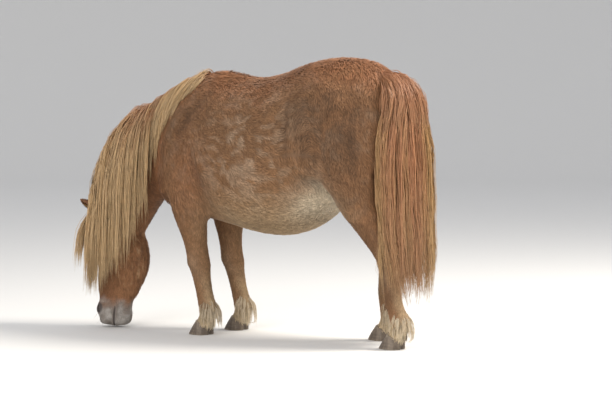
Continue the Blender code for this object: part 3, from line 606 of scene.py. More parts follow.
def near_points(spots, reach):
    """A test for points within reach of any of the spots, all given on the straight head."""
    centres = [np.array(flipped(spot, sign)) for spot in spots for sign in SIDES.values()]

    def wanted(points):
        here = straight(points)
        return np.any([np.linalg.norm(here - centre, axis=1) < reach for centre in centres], axis=0)

    return wanted


def skin_depth(points):
    """How far the skin lies inside the solids' surface at each point."""
    here = straight(points)
    face = ramp(-here[:, 0], 0.56, 0.62) * ramp(-here[:, 2], -0.46, -0.40)
    low = ramp(-points[:, 2], -0.45, -0.33) * (points[:, 0] > BREAST)
    depth = DEPTH_BODY + (DEPTH_LEG - DEPTH_BODY) * low
    return depth + (DEPTH_FACE - depth) * face


def eye_axes(sign):
    """The line between one eye's corners, the way to its upper lid, and outwards, on the straight head."""
    along = flipped((-0.06, 0, 1.0), sign).normalized()
    front = flipped((-1.0, 0.30, -0.06), sign)
    front = (front - along * front.dot(along)).normalized()
    return np.array(along), np.array(front), np.array(along.cross(front) * -sign)


def lid_distance(away, sign):
    """How far each point lies outside the lids' opening, less than 0 within it, and whether by the upper."""
    along, front, _ = eye_axes(sign)
    half_length, upper_bow, lower_bow = 0.0195, 0.0115, 0.0100
    a, b = away @ along, away @ front
    arch = (1 - np.clip(np.abs(a) / half_length, 0, 1) ** 2) ** 0.8
    inside = np.maximum(b - upper_bow * arch, -lower_bow * arch - b)
    beyond = np.hypot(np.abs(a) - half_length, b)
    return np.where(np.abs(a) < half_length, inside, beyond), b > 0


def sculpt_eyes(points):
    """Shapes the lids over each eyeball, with a rim, a crease and a fold above."""
    for sign in SIDES.values():
        away = points - np.array(flipped(EYE, sign))
        reach = np.linalg.norm(away, axis=1, keepdims=True)
        gap, upper = lid_distance(away, sign)
        rim = np.where(upper, 0.0034, 0.0024)
        target = EYE_RADIUS - 0.004 + (rim + 0.004) * ramp(gap, -0.0016, 0.0005)
        target += 0.0011 * bell(gap, 0.0019, 0.0013)
        target -= np.where(upper, 0.0020, 0.0010) * bell(gap, 0.0072, 0.0013)
        target += np.where(upper, 0.0014, 0.0006) * bell(gap, 0.0105, 0.0018)
        outer = away @ eye_axes(sign)[2] > 0
        share = (1 - ramp(gap, 0.008, 0.019)) * outer * (reach[:, 0] < 0.05)
        new_reach = reach[:, 0] + (target - reach[:, 0]) * share
        points = points + away / np.maximum(reach, 1e-9) * (new_reach - reach[:, 0])[:, None]
    return points


def sculpt_nostrils(points):
    along = np.array((math.sin(NOSTRIL_TILT), 0, math.cos(NOSTRIL_TILT)))
    for sign in SIDES.values():
        out = np.array((-0.615, sign * 0.788, 0))
        across = np.cross(along, out)
        away = points - np.array(flipped(NOSTRIL, sign))
        a = away @ along / 0.0165
        b = away @ across / 0.0072 + sign * 0.45 * a**2 - sign * 0.2
        q = np.hypot(a, b)
        near = (away @ out > -0.025) & (np.linalg.norm(away, axis=1) < 0.05)
        push = 0.0026 * bell(q, 1.30, 0.28) - 0.016 * (1 - ramp(q, 0.45, 1.02))
        points = points + out * (push * near)[:, None]
    return points


def mouth_offset(points):
    """How far behind the line of the mouth each point lies, and how near it is to the lips."""
    line = MOUTH_X + math.tan(MOUTH_TILT) * (points[:, 2] - 0.036)
    inner = points[:, 2] < 0.14
    return points[:, 0] - line, (1 - ramp(points[:, 2], MOUTH_TOP - 0.014, MOUTH_TOP)) * inner


def sculpt_mouth(points, outward):
    gap, share = mouth_offset(points)
    push = 0.0020 * bell(np.abs(gap), 0.0065, 0.0042) - 0.0034 * bell(gap, 0.0, 0.0015)
    corner = 0.0012 * bell(np.hypot(gap, points[:, 2] - MOUTH_TOP - 0.004), 0.008, 0.004)
    return points + outward * (push * share + corner)[:, None]


def sculpted(skin):
    """Cuts the lids, nostrils and mouth into the skin of the head."""
    mesh = skin.data
    points = coords(mesh)
    here = straight(points)
    on_head = (here[:, 0] < -0.52) & (here[:, 2] < 0.50)
    back = np.array(head_place().to_3x3())
    outward = normals(mesh)[on_head] @ back
    head = sculpt_mouth(here[on_head], outward)
    head = sculpt_nostrils(head)
    head = sculpt_eyes(head)
    points[on_head] = moved_by(head_place(), head)
    set_coords(mesh, points)


def crease_places(x, z):
    """For each crease: how far along and behind it each point lies, and its width and depth."""
    for x0, z0, x1, z1, width, depth in CREASES:
        start, line = np.array((x0, z0)), np.array((x1 - x0, z1 - z0))
        place = np.stack((x, z), axis=1) - start
        along = np.clip(place @ line / (line @ line), 0, 1)
        away = place - along[:, None] * line
        yield along, np.sign(away[:, 0]) * np.linalg.norm(away, axis=1), width, depth


def creased(points, outward):
    """Sinks the creases of the body and raises a soft swell behind each."""
    here = unturned(points)
    push = np.zeros(len(points))
    for along, behind, width, depth in crease_places(here[:, 0], here[:, 2]):
        ends = np.sin(HALF_TURN * np.clip(along, 0.02, 0.98)) ** 0.5
        push -= depth * ends * (bell(behind, 0, width) - 0.45 * bell(behind, 1.8 * width, 1.2 * width))
    sideways = ramp(np.abs(here[:, 1]), 0.03, 0.08)
    return points + outward * (push * sideways)[:, None]


def smoothed(obj, group, rounds, factor=0.5):
    smooth = obj.modifiers.new("Smooth", "SMOOTH")
    smooth.factor = factor
    smooth.iterations = rounds
    smooth.vertex_group = group
    apply_modifiers(obj)
    obj.vertex_groups.clear()


def group_of(obj, weights):
    group = obj.vertex_groups.new(name="part")
    for index in np.nonzero(weights > 0.01)[0]:
        group.add([int(index)], float(weights[index]), "REPLACE")
    return group.name


def on_head(points):
    here = straight(points)
    return (here[:, 0] < -0.53) & (here[:, 2] < 0.47)


def on_limbs(points):
    return on_head(points) | ((points[:, 2] < 0.46) & (points[:, 0] > -0.45) & (leg_places(points)[0] > 0))


def fine_flesh():
    """The flesh, with finer faces on the legs and head, and finest round the head's openings."""
    skin = flesh()
    lips = (-0.690, 0.030, 0.030)
    refined(skin, on_limbs)
    smoothed(skin, group_of(skin, on_limbs(coords(skin.data)).astype(float)), 3)
    refined(skin, on_head)
    refined(skin, near_points([EYE, NOSTRIL, lips], 0.038))
    refined(skin, near_points([EYE], 0.027))
    smoothed(skin, group_of(skin, on_head(coords(skin.data)).astype(float)), 6)
    return skin


def ear_frame(sign):
    turn = head_place().to_3x3()
    along = (turn @ flipped(EAR_DIRECTION, sign)).normalized()
    opening = turn @ flipped(EAR_OPENING, sign)
    opening = (opening - along * opening.dot(along)).normalized()
    return along, opening, along.cross(opening)


def ear(sign, root):
    """A cupped ear, open to the front and side, with a rolled rim."""
    along, opening, across = ear_frame(sign)
    rings = []
    for share, radius, gape in spline(EAR, 6):
        radius -= 0.0008
        middle = root + along * (share * EAR_LENGTH)
        inner = max(radius - EAR_THICKNESS * (1 - 0.35 * share), radius * 0.45)
        first = math.radians(gape / 2)
        angles = [first + (2 * HALF_TURN - 2 * first) * k / (EAR_POINTS - 1) for k in range(EAR_POINTS)]
        ring = []
        for size, turns in ((radius, angles), (inner, reversed(angles))):
            for a in turns:
                ring.append(middle + opening * (0.8 * size * math.cos(a)) + across * (size * math.sin(a)))
        rings.append(ring)
    return loft("ear", rings)


def foot_centre(pair, side):
    """The middle of the coronet of one foot."""
    x, y = LEGS[pair][-1][:2]
    return Vector((x + SOLE_SHIFT + STEP[pair, side], SIDES[side] * y, CORONET_HEIGHT))


def below_coronet(centre):
    """The space below one coronet, as wide as the foot."""
    reach = 0.085
    ways = [Vector(way) for way in ((1, 0, 0), (-1, 0, 0), (0, 1, 0), (0, -1, 0))]
    around = [(centre + way * reach, way) for way in ways]
    return region([(centre + Vector((0, 0, 0.001)), (CORONET_SLOPE, 0, 1)), *around])


class Surface:
    """A body's surface, for setting hair on it and keeping hair off it."""

    def __init__(self, body):
        bm = bmesh.new()
        bm.from_mesh(body.data)
        self.tree = BVHTree.FromBMesh(bm)
        bm.free()

    def nearest(self, point):
        near, normal, _, _ = self.tree.find_nearest(point)
        return near, normal

    def outward(self, point):
        return self.nearest(point)[1]

    def lifted(self, point, clear):
        """The point, moved out to a clear distance where it lies nearer than that."""
        near, normal = self.nearest(point)
        away = point - near
        if away.dot(normal) > 0 and away.length >= clear:
            return point
        return near + normal * clear


def make_skin(skin):
    """Turns the flesh into the one skin: inset by the coat's depth, with lids, nostrils, mouth and ears, and
    cut at the coronets. Gives the ears' roots too."""
    mesh = skin.data
    points, outward = coords(mesh), normals(mesh)
    set_coords(mesh, creased(points - outward * skin_depth(points)[:, None], outward))
    sculpted(skin)
    surface = Surface(skin)
    roots = {}
    for side, sign in SIDES.items():
        root, _ = surface.nearest(head_place() @ flipped(EAR_ROOT, sign))
        roots[side] = root
        boolean(skin, "UNION", [ear(sign, root)])
    points = coords(skin.data)
    near_ears = np.zeros(len(points))
    for side, sign in SIDES.items():
        along = np.array(ear_frame(sign)[0])
        away = points - np.array(roots[side])
        height = away @ along
        round_ear = np.linalg.norm(away - np.outer(height, along), axis=1)
        near_ears = np.maximum(near_ears, bell(height, 0.004, 0.012) * (1 - ramp(round_ear, 0.026, 0.038)))
    smoothed(skin, group_of(skin, near_ears), 10)
    for pair, side in STEP:
        boolean(skin, "DIFFERENCE", [below_coronet(foot_centre(pair, side))])
    skin.data.shade_smooth()
    return skin, roots


def between(table, places, at, value):
    """One column of a table where another column has the given values, read between its rows."""
    order = sorted(table, key=lambda entry: entry[at])
    return np.interp(places, [entry[at] for entry in order], [entry[value] for entry in order])


def lattice(cells, seed):
    """A repeatable random value from 0 to 1 for each whole-numbered cell."""
    key = cells[..., 0] * 127.1 + cells[..., 1] * 311.7 + cells[..., 2] * 74.7 + seed * 19.19
    found = np.sin(key) * 43758.5453
    return found - np.floor(found)


def noise(points, size, seed):
    """Smooth noise from 0 to 1 whose lumps are about size across."""
    scaled = points / size
    base = np.floor(scaled)
    t = scaled - base
    t = t * t * (3 - 2 * t)
    total = 0.0
    for corner in np.ndindex(2, 2, 2):
        weight = np.prod(np.where(corner, t, 1 - t), axis=1)
        total = total + weight * lattice(base + np.array(corner), seed)
    return total


def row(along, across=None):
    """Places for noise that changes along one or two numbers only."""
    return np.stack((along, along * 0.0 if across is None else across, along * 0.0), axis=1)


def mixed(colour, other, share):
    share = np.clip(share, 0, 1)[:, None]
    return colour * (1 - share) + np.array(other) * share


def unturned(points):
    """Points of the turned neck and head as they lie on the straight ones."""
    aheads = np.linspace(0, 0.7, 141)
    line = np.array([turned(Vector((TURN_START - ahead, 0, 0))) for ahead in aheads])
    found = points.copy()
    moved = np.nonzero(points[:, 0] < TURN_START + 0.05)[0]
    x, y = points[moved, 0], points[moved, 1]
    ahead = TURN_START - x
    for _ in range(6):
        at = np.clip(ahead, 0, 0.7)
        angle = TURN_ANGLE * ramp(at, 0, TURN_LENGTH)
        beside_x = x - np.interp(at, aheads, line[:, 0])
        beside_y = y - np.interp(at, aheads, line[:, 1])
        ahead = at - beside_x * np.cos(angle) - beside_y * np.sin(angle)
    found[moved, 0] = TURN_START - ahead
    found[moved, 1] = -beside_x * np.sin(angle) + beside_y * np.cos(angle)
    return found


def leg_offsets(points):
    """For each leg: its number and pair, and each point's offset from its middle line."""
    z = points[:, 2]
    for number, ((pair, side), step) in enumerate(STEP.items(), 1):
        table = LEGS[pair]
        top = table[0][2]
        x = between(table, z, 2, 0) + step * ramp(top - z, 0, top)
        y = between(table, z, 2, 1) * SIDES[side]
        yield number, pair, points[:, :2] - np.stack((x, y), axis=1)


def leg_places(points):
    """For each point: the number of the leg that it is on, or 0, and its offset from that leg's middle."""
    on_leg = np.zeros(len(points), int)
    offset = np.zeros((len(points), 2))
    for number, pair, away in leg_offsets(points):
        below = points[:, 2] < LEG_TOP[pair]
        mine = below & (np.hypot(*away.T) < 0.10) & (points[:, 0] > BREAST)
        on_leg[mine] = number
        offset[mine] = away[mine]
    return on_leg, offset


def legward(points):
    """How near each point below the trunk lies to the middle line of a leg, from 0 to 1."""
    found = np.zeros(len(points))
    for _, _, away in leg_offsets(points):
        found = np.maximum(found, 1 - ramp(np.hypot(*away.T), 0.070, 0.115))
    return found * ramp(-points[:, 2], -0.60, -0.48) * (points[:, 0] > BREAST)


def crease_shade(x, z):
    """How near each point lies to one of the body's creases, from 0 to 1."""
    found = np.zeros(len(x))
    for along, behind, width, _ in crease_places(x, z):
        ends = np.sin(HALF_TURN * np.clip(along, 0.05, 0.95))
        found = np.maximum(found, bell(behind, 0, width) * ends)
    return found


def coat_marks(points, fine):
    """The colour of each marking and its share at each point, in the order in which they are laid on."""
    x, y, z = unturned(points).T
    middle = between(TRUNK, x, 0, 3)
    rise = (z - middle) / (between(TRUNK, x, 0, 1) - middle)

    patches = noise(points, 0.070, 1)
    specks = noise(points, 0.022, 2)
    warp = np.stack([noise(points, 0.060, seed) for seed in (4, 5, 6)], axis=1)
    waves = noise(points * (0.8, 1.0, 1.7) + 0.06 * warp, 0.030, 7)

    # Redder along the back and on the rump
    yield RED_BROWN, 0.75 * ramp(rise + 0.3 * (specks - 0.5), 0.50, 0.98)
    yield RED_BROWN, 0.20 * ramp(x, 0.20, 0.45)

    # Grey dapples on the barrel, with darker hair between them
    barrel = bell(x, 0.05, 0.26) * bell(z, 0.70, 0.20)
    dapple = ramp(0.40 * patches + 0.60 * waves, 0.42, 0.62)
    yield GREY_BROWN, 0.55 * barrel * dapple
    yield GREY_BROWN, 0.30 * ramp(patches * specks, 0.22, 0.5) * bell(z, 0.75, 0.30)
    dark = bell(x, 0.02, 0.42) * bell(rise, 0.40, 0.5) * (1 - dapple)
    yield DARK_BROWN, 0.34 * dark * ramp(waves, 0.15, 0.40)

    # Painted shade in the body's creases, a darker haunch and forehand, and a redder shoulder
    yield DARK_BROWN, 0.82 * crease_shade(x, z) * (np.abs(y) > 0.05)
    haunch = ramp(x - 0.26 * (0.90 - z), 0.20, 0.25) * ramp(-x, -0.60, -0.44) * ramp(z, 0.42, 0.56)
    mottle = 0.26 + 0.34 * ramp(patches + specks, 0.5, 1.2)
    yield DARK_BROWN, haunch * ramp(-z, -1.02, -0.88) * mottle
    forehand = ramp(-x, 0.08, 0.18) * ramp(z, 0.40, 0.50) * (1 - ramp(rise, 0.6, 0.9))
    yield DARK_BROWN, 0.22 * forehand
    shoulder = bell(x, -0.26, 0.10) * bell(z, 0.62, 0.16)
    yield RED_BROWN, 0.40 * shoulder

    # Pale belly, flank and inner thighs
    belly = ramp(-z, -0.62, -0.40) * ramp(x, -0.30, -0.05) * ramp(-x, -0.55, -0.30)
    yield CREAM, 0.45 * belly
    flank = bell(x, 0.27, 0.11) * bell(z, 0.53, 0.10)
    inner = (np.abs(y) < 0.12) * bell(x, 0.36, 0.16) * bell(z, 0.52, 0.14)
    yield PALE_CREAM, 0.85 * np.maximum(flank * ramp(-np.abs(y), -0.25, -0.12), inner)

    # Brown legs with pale feet of their own. The paler rear of the lower legs and feet is painted light, and
    # the darkening of the hind legs, strongest down their front, is painted shade
    on_leg, offset = leg_places(points)
    legs = on_leg > 0
    low = ramp(-z, -0.44, -0.26) * legs
    lit_rear = ramp(offset[:, 0] + 0.014 * (specks - 0.5), 0.000, 0.034)
    yield TAN, 0.35 * low
    # Painted shade on the hind legs, least at their lit rear
    hind = ramp(x, 0.30, 0.40) * legs * (1 - 0.6 * lit_rear) * ramp(z, 0.10, 0.20)
    yield DARK_BROWN, 0.46 * hind
    # Pale feet of their own, paler still at the rear with painted light
    feet = ramp(-z + 0.03 * (specks - 0.5), -0.125, -0.070)
    pale = np.maximum(0.45 * lit_rear * ramp(-z, -0.28, -0.14), feet * (0.72 + 0.22 * lit_rear))
    yield CREAM, pale * legs
    yield PALE_CREAM, 0.60 * feet * (0.35 + 0.65 * lit_rear) * legs
    yield GREY_BROWN, 0.30 * bell(z, 0.27, 0.05) * (1 - lit_rear) * legs

    # Red head with a streaked cheek and a grey muzzle
    ear = ramp(-x, 0.738, 0.748) * ramp(z, 0.42, 0.44)
    head = np.maximum(ramp(-x, 0.53, 0.58) * ramp(-z, -0.48, -0.42), ear)
    yield RED_BROWN, 0.55 * head
    yield DARK_BROWN, 0.18 * ear
    cheek = head * ramp(x, -0.72, -0.64) * (1 - ear)
    yield CHEEK_RED, 0.60 * cheek
    streaks = noise(points * (1.0, 1.0, 0.22), 0.007, 8)
    yield DARK_BROWN, 0.42 * cheek * ramp(streaks, 0.50, 0.80)
    yield PALE_FLAXEN, 0.30 * cheek * ramp(-streaks, -0.36, -0.16) * ramp(z, 0.12, 0.24)
    yield DARK_BROWN, 0.16 * head * ramp(fine, 0.4, 0.9)
    blaze = head * bell(y, 0.0, 0.035) * bell(z, 0.24, 0.12)
    yield DARK_BROWN, 0.30 * blaze * ramp(-x, 0.69, 0.74)
    edge = 0.05 * (patches - 0.5) + 0.03 * (specks - 0.5)
    muzzle = head * ramp(-z + edge, -0.120, -0.062)
    yield MUZZLE_GREY, 0.92 * muzzle
    yield MUZZLE_PALE, 0.55 * muzzle * ramp(specks, 0.35, 0.7)

    # Redder neck, under the mane
    under = ramp(-x, 0.36, 0.48) * (1 - head)
    yield RED_BROWN, 0.5 * under


def coat_colour(points):
    """The colours of the coat at each point: the same for the skin and for the tufts on it."""
    fine = noise(points, 0.009, 3)
    colour = np.tile(np.array(CHESTNUT), (len(points), 1))
    for other, share in coat_marks(points, fine):
        colour = mixed(colour, other, share)
    return np.clip(colour * (0.77 + 0.29 * fine)[:, None], 0, 1)


def bare_share(points):
    """Where the skin is bare: the rims of the lids, the nostrils and the line of the mouth."""
    here = straight(points)
    found = np.zeros(len(points))
    for sign in SIDES.values():
        away = here - np.array(flipped(EYE, sign))
        gap, _ = lid_distance(away, sign)
        close = np.linalg.norm(away, axis=1) < 0.045
        found = np.maximum(found, (1 - ramp(gap, 0.0012, 0.0055)) * close)
        nostril = np.linalg.norm((here - np.array(flipped(NOSTRIL, sign))) / (0.019, 0.019, 0.024), axis=1)
        found = np.maximum(found, 1 - ramp(nostril, 0.75, 1.15))
    gap, share = mouth_offset(here)
    on_head = (here[:, 0] < -0.52) & (here[:, 2] < 0.16)
    found = np.maximum(found, 0.8 * (1 - ramp(np.abs(gap), 0.0018, 0.007)) * share * on_head)
    return found


def skin_colour(points):
    # The skin seen between the tufts is the coat's colour in painted shade, a fifth darker; the lids, nostrils
    # and mouth line are dark bare skin
    return mixed(coat_colour(points) * 0.80, SKIN_DARK, 0.9 * bare_share(points))


# The unwrap: one cell of the map for each part of the body, as left, bottom, width and height.
CELLS = {
    "trunk": (0.01, 0.01, 0.97, 0.52),
    "neck": (0.01, 0.55, 0.47, 0.20),
    "head": (0.50, 0.55, 0.47, 0.24),
    "leg1": (0.01, 0.80, 0.22, 0.19),
    "leg2": (0.25, 0.80, 0.22, 0.19),
    "leg3": (0.50, 0.80, 0.22, 0.19),
    "leg4": (0.75, 0.80, 0.22, 0.19),
}
PARTS = list(CELLS)
PATCH = 0.003


def part_numbers(points):
    """The cell of the unwrap that each point belongs to."""
    here = unturned(points)
    found = np.zeros(len(points), int)
    found[here[:, 0] + 0.33 * (here[:, 2] - 0.76) < -0.36] = PARTS.index("neck")
    beyond = (here[:, 0] + 0.660) * 0.573 + (here[:, 2] - 0.430) * 0.819
    found[(beyond < 0) & (here[:, 0] < -0.45)] = PARTS.index("head")
    on_leg, _ = leg_places(points)
    found[on_leg > 0] = on_leg[on_leg > 0] + 2
    return found


def unwrapped(points, numbers):
    """Where points lie in the unwrap: round each part's middle line, and along it."""
    x, y, z = unturned(points).T
    _, offset = leg_places(points)
    middle = between(TRUNK, x, 0, 3)
    turns = np.arctan2(y, z - middle)
    along = (x + 0.50) / 1.10
    neck = numbers == PARTS.index("neck")
    forward = (x + 0.54) * -0.6 + (z - 0.60) * 0.8
    down = -(x + 0.54) * 0.8 - (z - 0.60) * 0.6
    turns = np.where(neck, np.arctan2(y, forward), turns)
    along = np.where(neck, 0.5 + down, along)
    head = numbers == PARTS.index("head")
    turns = np.where(head, np.arctan2(y, -(x + 0.665)), turns)
    along = np.where(head, (z + 0.02) / 0.60, along)
    legs = numbers >= PARTS.index("leg1")
    turns = np.where(legs, np.arctan2(offset[:, 1], offset[:, 0]), turns)
    along = np.where(legs, z / 0.50, along)
    cells = np.array([CELLS[part] for part in PARTS])[numbers]
    share = np.clip(turns / (2 * HALF_TURN) + 0.5, 0, 1)
    u = cells[:, 0] + cells[:, 2] * share
    v = cells[:, 1] + cells[:, 3] * np.clip(along, 0, 1)
    return np.stack((u, v), axis=1)


def root_places(points):
    return unwrapped(points, part_numbers(points))


def unwrap_skin(mesh):
    """The skin's own map, face by face, so that no face is stretched across a seam."""
    points = coords(mesh)
    count = len(mesh.loops)
    corner = np.empty(count, int)
    mesh.loops.foreach_get("vertex_index", corner)
    sizes = np.empty(len(mesh.polygons), int)
    mesh.polygons.foreach_get("loop_total", sizes)
    faces = np.repeat(np.arange(len(sizes)), sizes)
    middles = np.zeros((len(sizes), 3))
    np.add.at(middles, faces, points[corner])
    middles /= sizes[:, None]
    numbers = part_numbers(middles)
    centre = unwrapped(middles, numbers)[faces]
    found = unwrapped(points[corner], numbers[faces])
    widths = np.array([CELLS[part][2] for part in PARTS])[numbers[faces]]
    gap = found[:, 0] - centre[:, 0]
    found[:, 0] -= widths * np.round(gap / widths)
    found = np.clip(found, 0, 1)
    layer = mesh.uv_layers.new(name="OFBake")
    layer.data.foreach_set("uv", found.astype(np.float32).ravel())


def mesh_of(name, points, triangles, colours, places, shading=None):
    """A mesh from arrays, with a colour and a place in the unwrap at each vertex."""
    mesh = bpy.data.meshes.new(name)
    mesh.vertices.add(len(points))
    mesh.vertices.foreach_set("co", points.astype(np.float32).ravel())
    mesh.loops.add(triangles.size)
    mesh.loops.foreach_set("vertex_index", triangles.astype(np.int32).ravel())
    mesh.polygons.add(len(triangles))
    mesh.polygons.foreach_set("loop_start", np.arange(0, triangles.size, 3, dtype=np.int32))
    mesh.update(calc_edges=True)
    paint(mesh, colours)
    layer = mesh.uv_layers.new(name="OFBake")
    layer.data.foreach_set("uv", places[triangles.ravel()].astype(np.float32).ravel())
    mesh.shade_smooth()
    if shading is not None:
        mesh.normals_split_custom_set_from_vertices(shading.astype(np.float32))
    return linked(name, mesh)


def paint(mesh, colours):
    layer = mesh.color_attributes.new("tone", "FLOAT_COLOR", "POINT")
    full = np.ones((len(colours), 4), np.float32)
    full[:, :3] = colours
    layer.data.foreach_set("color", full.ravel())


def lie_of_coat(points, outward):
    """The way the hair lies at each point, along the surface."""
    x, _, z = unturned(points).T
    lie = np.tile(np.array((1.0, 0, -0.42)), (len(points), 1))
    swirl = np.stack((0.2 + 0 * z, 0 * z, np.sign(z - 0.70) * 0.9), axis=1)
    turns = (
        (ramp(x, 0.22, 0.36), (0.45, 0, -1.0)),  # haunch
        (ramp(-x, 0.12, 0.26) * ramp(-z, -0.90, -0.60), (0.25, 0, -1.0)),  # shoulder
        (bell(x, 0.255, 0.07) * bell(z, 0.72, 0.20), swirl),  # flank
        (ramp(-z, -0.50, -0.42), (1.0, 0, -0.1)),  # belly
        (legward(points), (0.12, 0, -1.0)),  # legs
        (ramp(-x, 0.34, 0.44) * ramp(z, 0.2, 0.4), (0.35, 0, -0.35)),  # neck
        (ramp(-x, 0.53, 0.58) * ramp(-z, -0.48, -0.42), (0.15, 0, -1.0)),  # head
    )
    for share, way in turns:
        lie = lie * (1 - share[:, None]) + np.array(way) * share[:, None]
    wander = np.stack([noise(points, 0.05, seed) - 0.5 for seed in (11, 12, 13)], axis=1)
    lie = unit(lie) + 1.1 * wander
    lie -= outward * (lie * outward).sum(1, keepdims=True)
    return unit(lie)


def scattered(mesh, per_area, draw):
    """Points spread over a mesh, as many to the square metre as per_area says at each triangle."""
    mesh.calc_loop_triangles()
    corners = np.empty(len(mesh.loop_triangles) * 3, int)
    mesh.loop_triangles.foreach_get("vertices", corners)
    corners = corners.reshape(-1, 3)
    points, outward = coords(mesh), normals(mesh)
    a, b, c = (points[corners[:, i]] for i in range(3))
    areas = np.linalg.norm(np.cross(b - a, c - a), axis=1) / 2
    wanted = areas * per_area((a + b + c) / 3, unit(outward[corners].sum(1)))
    total = int(wanted.sum())
    levels = (np.arange(total) + draw.random(total)) / total * wanted.sum()
    chosen = np.searchsorted(np.cumsum(wanted), levels)
    chosen = np.clip(chosen, 0, len(corners) - 1)
    u, v = draw.random(total), draw.random(total)
    over = u + v > 1
    u[over], v[over] = 1 - u[over], 1 - v[over]
    shares = np.stack((1 - u - v, u, v), axis=1)[:, :, None]
    found = (points[corners[chosen]] * shares).sum(1)
    return found, unit((outward[corners[chosen]] * shares).sum(1))


def coat_kind(points):
    """Shares of the kinds of coat at each point: body, top line, leg, face, and long on jaw and belly."""
    here = unturned(points)
    x, _, z = here.T
    middle = between(TRUNK, x, 0, 3)
    rise = (z - middle) / (between(TRUNK, x, 0, 1) - middle)
    leg_share = ramp(-z, -0.50, -0.34) * legward(points)
    ear = ramp(-x, 0.738, 0.748) * ramp(z, 0.42, 0.44)
    face = np.maximum(ramp(-x, 0.52, 0.60) * ramp(-z, -0.48, -0.40), ear)
    top = ramp(rise, 0.72, 0.97) * ramp(x, -0.32, -0.22) * (1 - face)
    jaw = face * ramp(x, -0.64, -0.60) * bell(here[:, 1], 0, 0.045) * ramp(z, 0.10, 0.16)
    cheek = 0.50 * face * (1 - ear) * ramp(x, -0.71, -0.64) * ramp(z, 0.12, 0.20)
    keel = ramp(-rise, 0.88, 0.99) * bell(here[:, 1], 0, 0.07) * (x > -0.35) * (1 - leg_share)
    shag = np.maximum(np.maximum(jaw, cheek), keel)
    face, leg_share, top = (share * (1 - shag) for share in (face, leg_share, top))
    body = np.clip(1 - leg_share - face - top - shag, 0, 1)
    return {"body": body, "top": top, "leg": leg_share, "face": face, "shag": shag}


def blended(kinds, column_number):
    return sum(share * COAT[name][column_number] for name, share in kinds.items())


def tufts(points, outward, draw):
    """One thin closed blade at each point, rooted in the skin, bent along the lie of the coat."""
    count = len(points)
    kinds = coat_kind(points)
    bare = bare_share(points)
    muzzle = ramp(-points[:, 2], -0.16, -0.07) * (kinds["face"] > 0.5)
    above = points[:, 2] - CORONET_HEIGHT + CORONET_SLOPE * leg_places(points)[1][:, 0]
    hoof_edge = ramp(-above, -0.026, -0.004) * (kinds["leg"] > 0.5)
    withers = kinds["top"] * bell(points[:, 0], -0.22, 0.10)
    length = blended(kinds, 1) * draw.uniform(0.7, 1.25, count) * (1 - 0.45 * muzzle)
    length *= (1 + 0.9 * hoof_edge) * (1 + 0.7 * withers)
    width = blended(kinds, 2) * draw.uniform(0.75, 1.2, count) * (1 - 0.35 * muzzle)
    lift = blended(kinds, 3) * draw.uniform(0.5, 1.5, count) * (1 - 0.5 * bare)
    lie = lie_of_coat(points, outward)
    side = np.cross(outward, lie)
    lie = unit(lie + side * draw.normal(0, 0.16, count)[:, None])
    side = np.cross(outward, lie)
    length, width, lift = (values[:, None] for values in (length, width, lift))
    root = points - outward * 0.0012
    middle = points + lie * length * 0.42 + outward * length * lift * 0.36
    tip = points + lie * length + outward * length * lift * 0.42
    left, right = middle - side * width / 2, middle + side * width / 2
    ridge = middle + outward * width * 0.30
    verts = np.stack((root, left, right, ridge, tip), axis=1).reshape(-1, 3)
    pattern = np.array(((0, 2, 1), (0, 1, 3), (0, 3, 2), (1, 2, 4), (3, 1, 4), (2, 3, 4)))
    faces = (pattern[None] + 5 * np.arange(count)[:, None, None]).reshape(-1, 3)
    tone = coat_colour(points) * draw.uniform(0.80, 1.22, count)[:, None]
    # Painted shade darkens each blade towards its root, where the hairs shade one another; the tip is lighter
    blade_shading = np.array((0.72, 0.95, 0.95, 1.0, 1.12))[None, :, None]
    colours = np.clip(tone[:, None, :] * blade_shading, 0, 1).reshape(-1, 3)
    beside = side * 0.5
    shading = np.stack((outward, outward - beside, outward + beside, outward, outward + lie * 0.35), axis=1)
    shading = unit(shading.reshape(-1, 3))
    spots = np.array(((0, 0), (-0.5, 0.5), (0.5, 0.5), (0, 0.5), (0, 1)))[None] * PATCH
    places = (root_places(points)[:, None, :] + spots).reshape(-1, 2)
    return verts, faces, colours, places, shading


def coat_pieces(skin, draw):
    """The short coat, in pieces by region."""

    def wanted(points, outward):
        amount = blended(coat_kind(points), 0)
        x, y, z = unturned(points).T
        under_mane = (x < -0.40) * (x > -0.75) * (z > 0.47) * (y < 0.05)
        sole = (outward[:, 2] < -0.85) & (points[:, 2] < 0.07)
        return amount * (1 - ramp(bare_share(points), 0.05, 0.60)) * (1 - 0.6 * under_mane) * ~sole

    points, outward = scattered(skin.data, wanted, draw)
    x, y, z = unturned(points).T
    on_leg, _ = leg_places(points)
    regions = {
        "coat_head": (x < -0.53) & (z < 0.50),
        "coat_legs_fore": (on_leg == 1) | (on_leg == 2),
        "coat_legs_hind": (on_leg == 3) | (on_leg == 4),
        "coat_neck": x < -0.36,
        "coat_shoulder": x < -0.12,
        "coat_barrel_left": (x < 0.20) & (y < 0),
        "coat_barrel_right": x < 0.20,
        "coat_rump_left": y < 0,
        "coat_rump_right": y > -1,
    }
    free = np.ones(len(points), bool)
    made = []
    for name, inside in regions.items():
        take = inside & free
        free &= ~inside
        made.append(mesh_of(name, *tufts(points[take], outward[take], draw)))
    return made


def hanging(surface, root, heading, length, clear, sag, lean=Vector((0, 0, 0)), steps=24):
    """A path that leaves the root along its heading, bends down under its weight and stays off the flesh."""
    heading = heading.normalized()
    path = [root - surface.outward(root) * 0.004]
    point = root
    for i in range(steps):
        path.append(point)
        heading = (heading * (1 - sag) + (DOWN + lean) * sag).normalized()
        rise = clear * min(1.0, (i + 1) / 3)
        point = surface.lifted(point + heading * length / steps, rise)
        heading = (point - path[-1]).normalized()
    return path + [point]


def sampled(path, share):
    """The point at a share of a path's length."""
    lengths = [(b - a).length for a, b in zip(path, path[1:])]
    left = share * sum(lengths)
    for start, end, length in zip(path, path[1:], lengths):
        if left <= length:
            return start.lerp(end, left / length)
        left -= length
    return path[-1].copy()


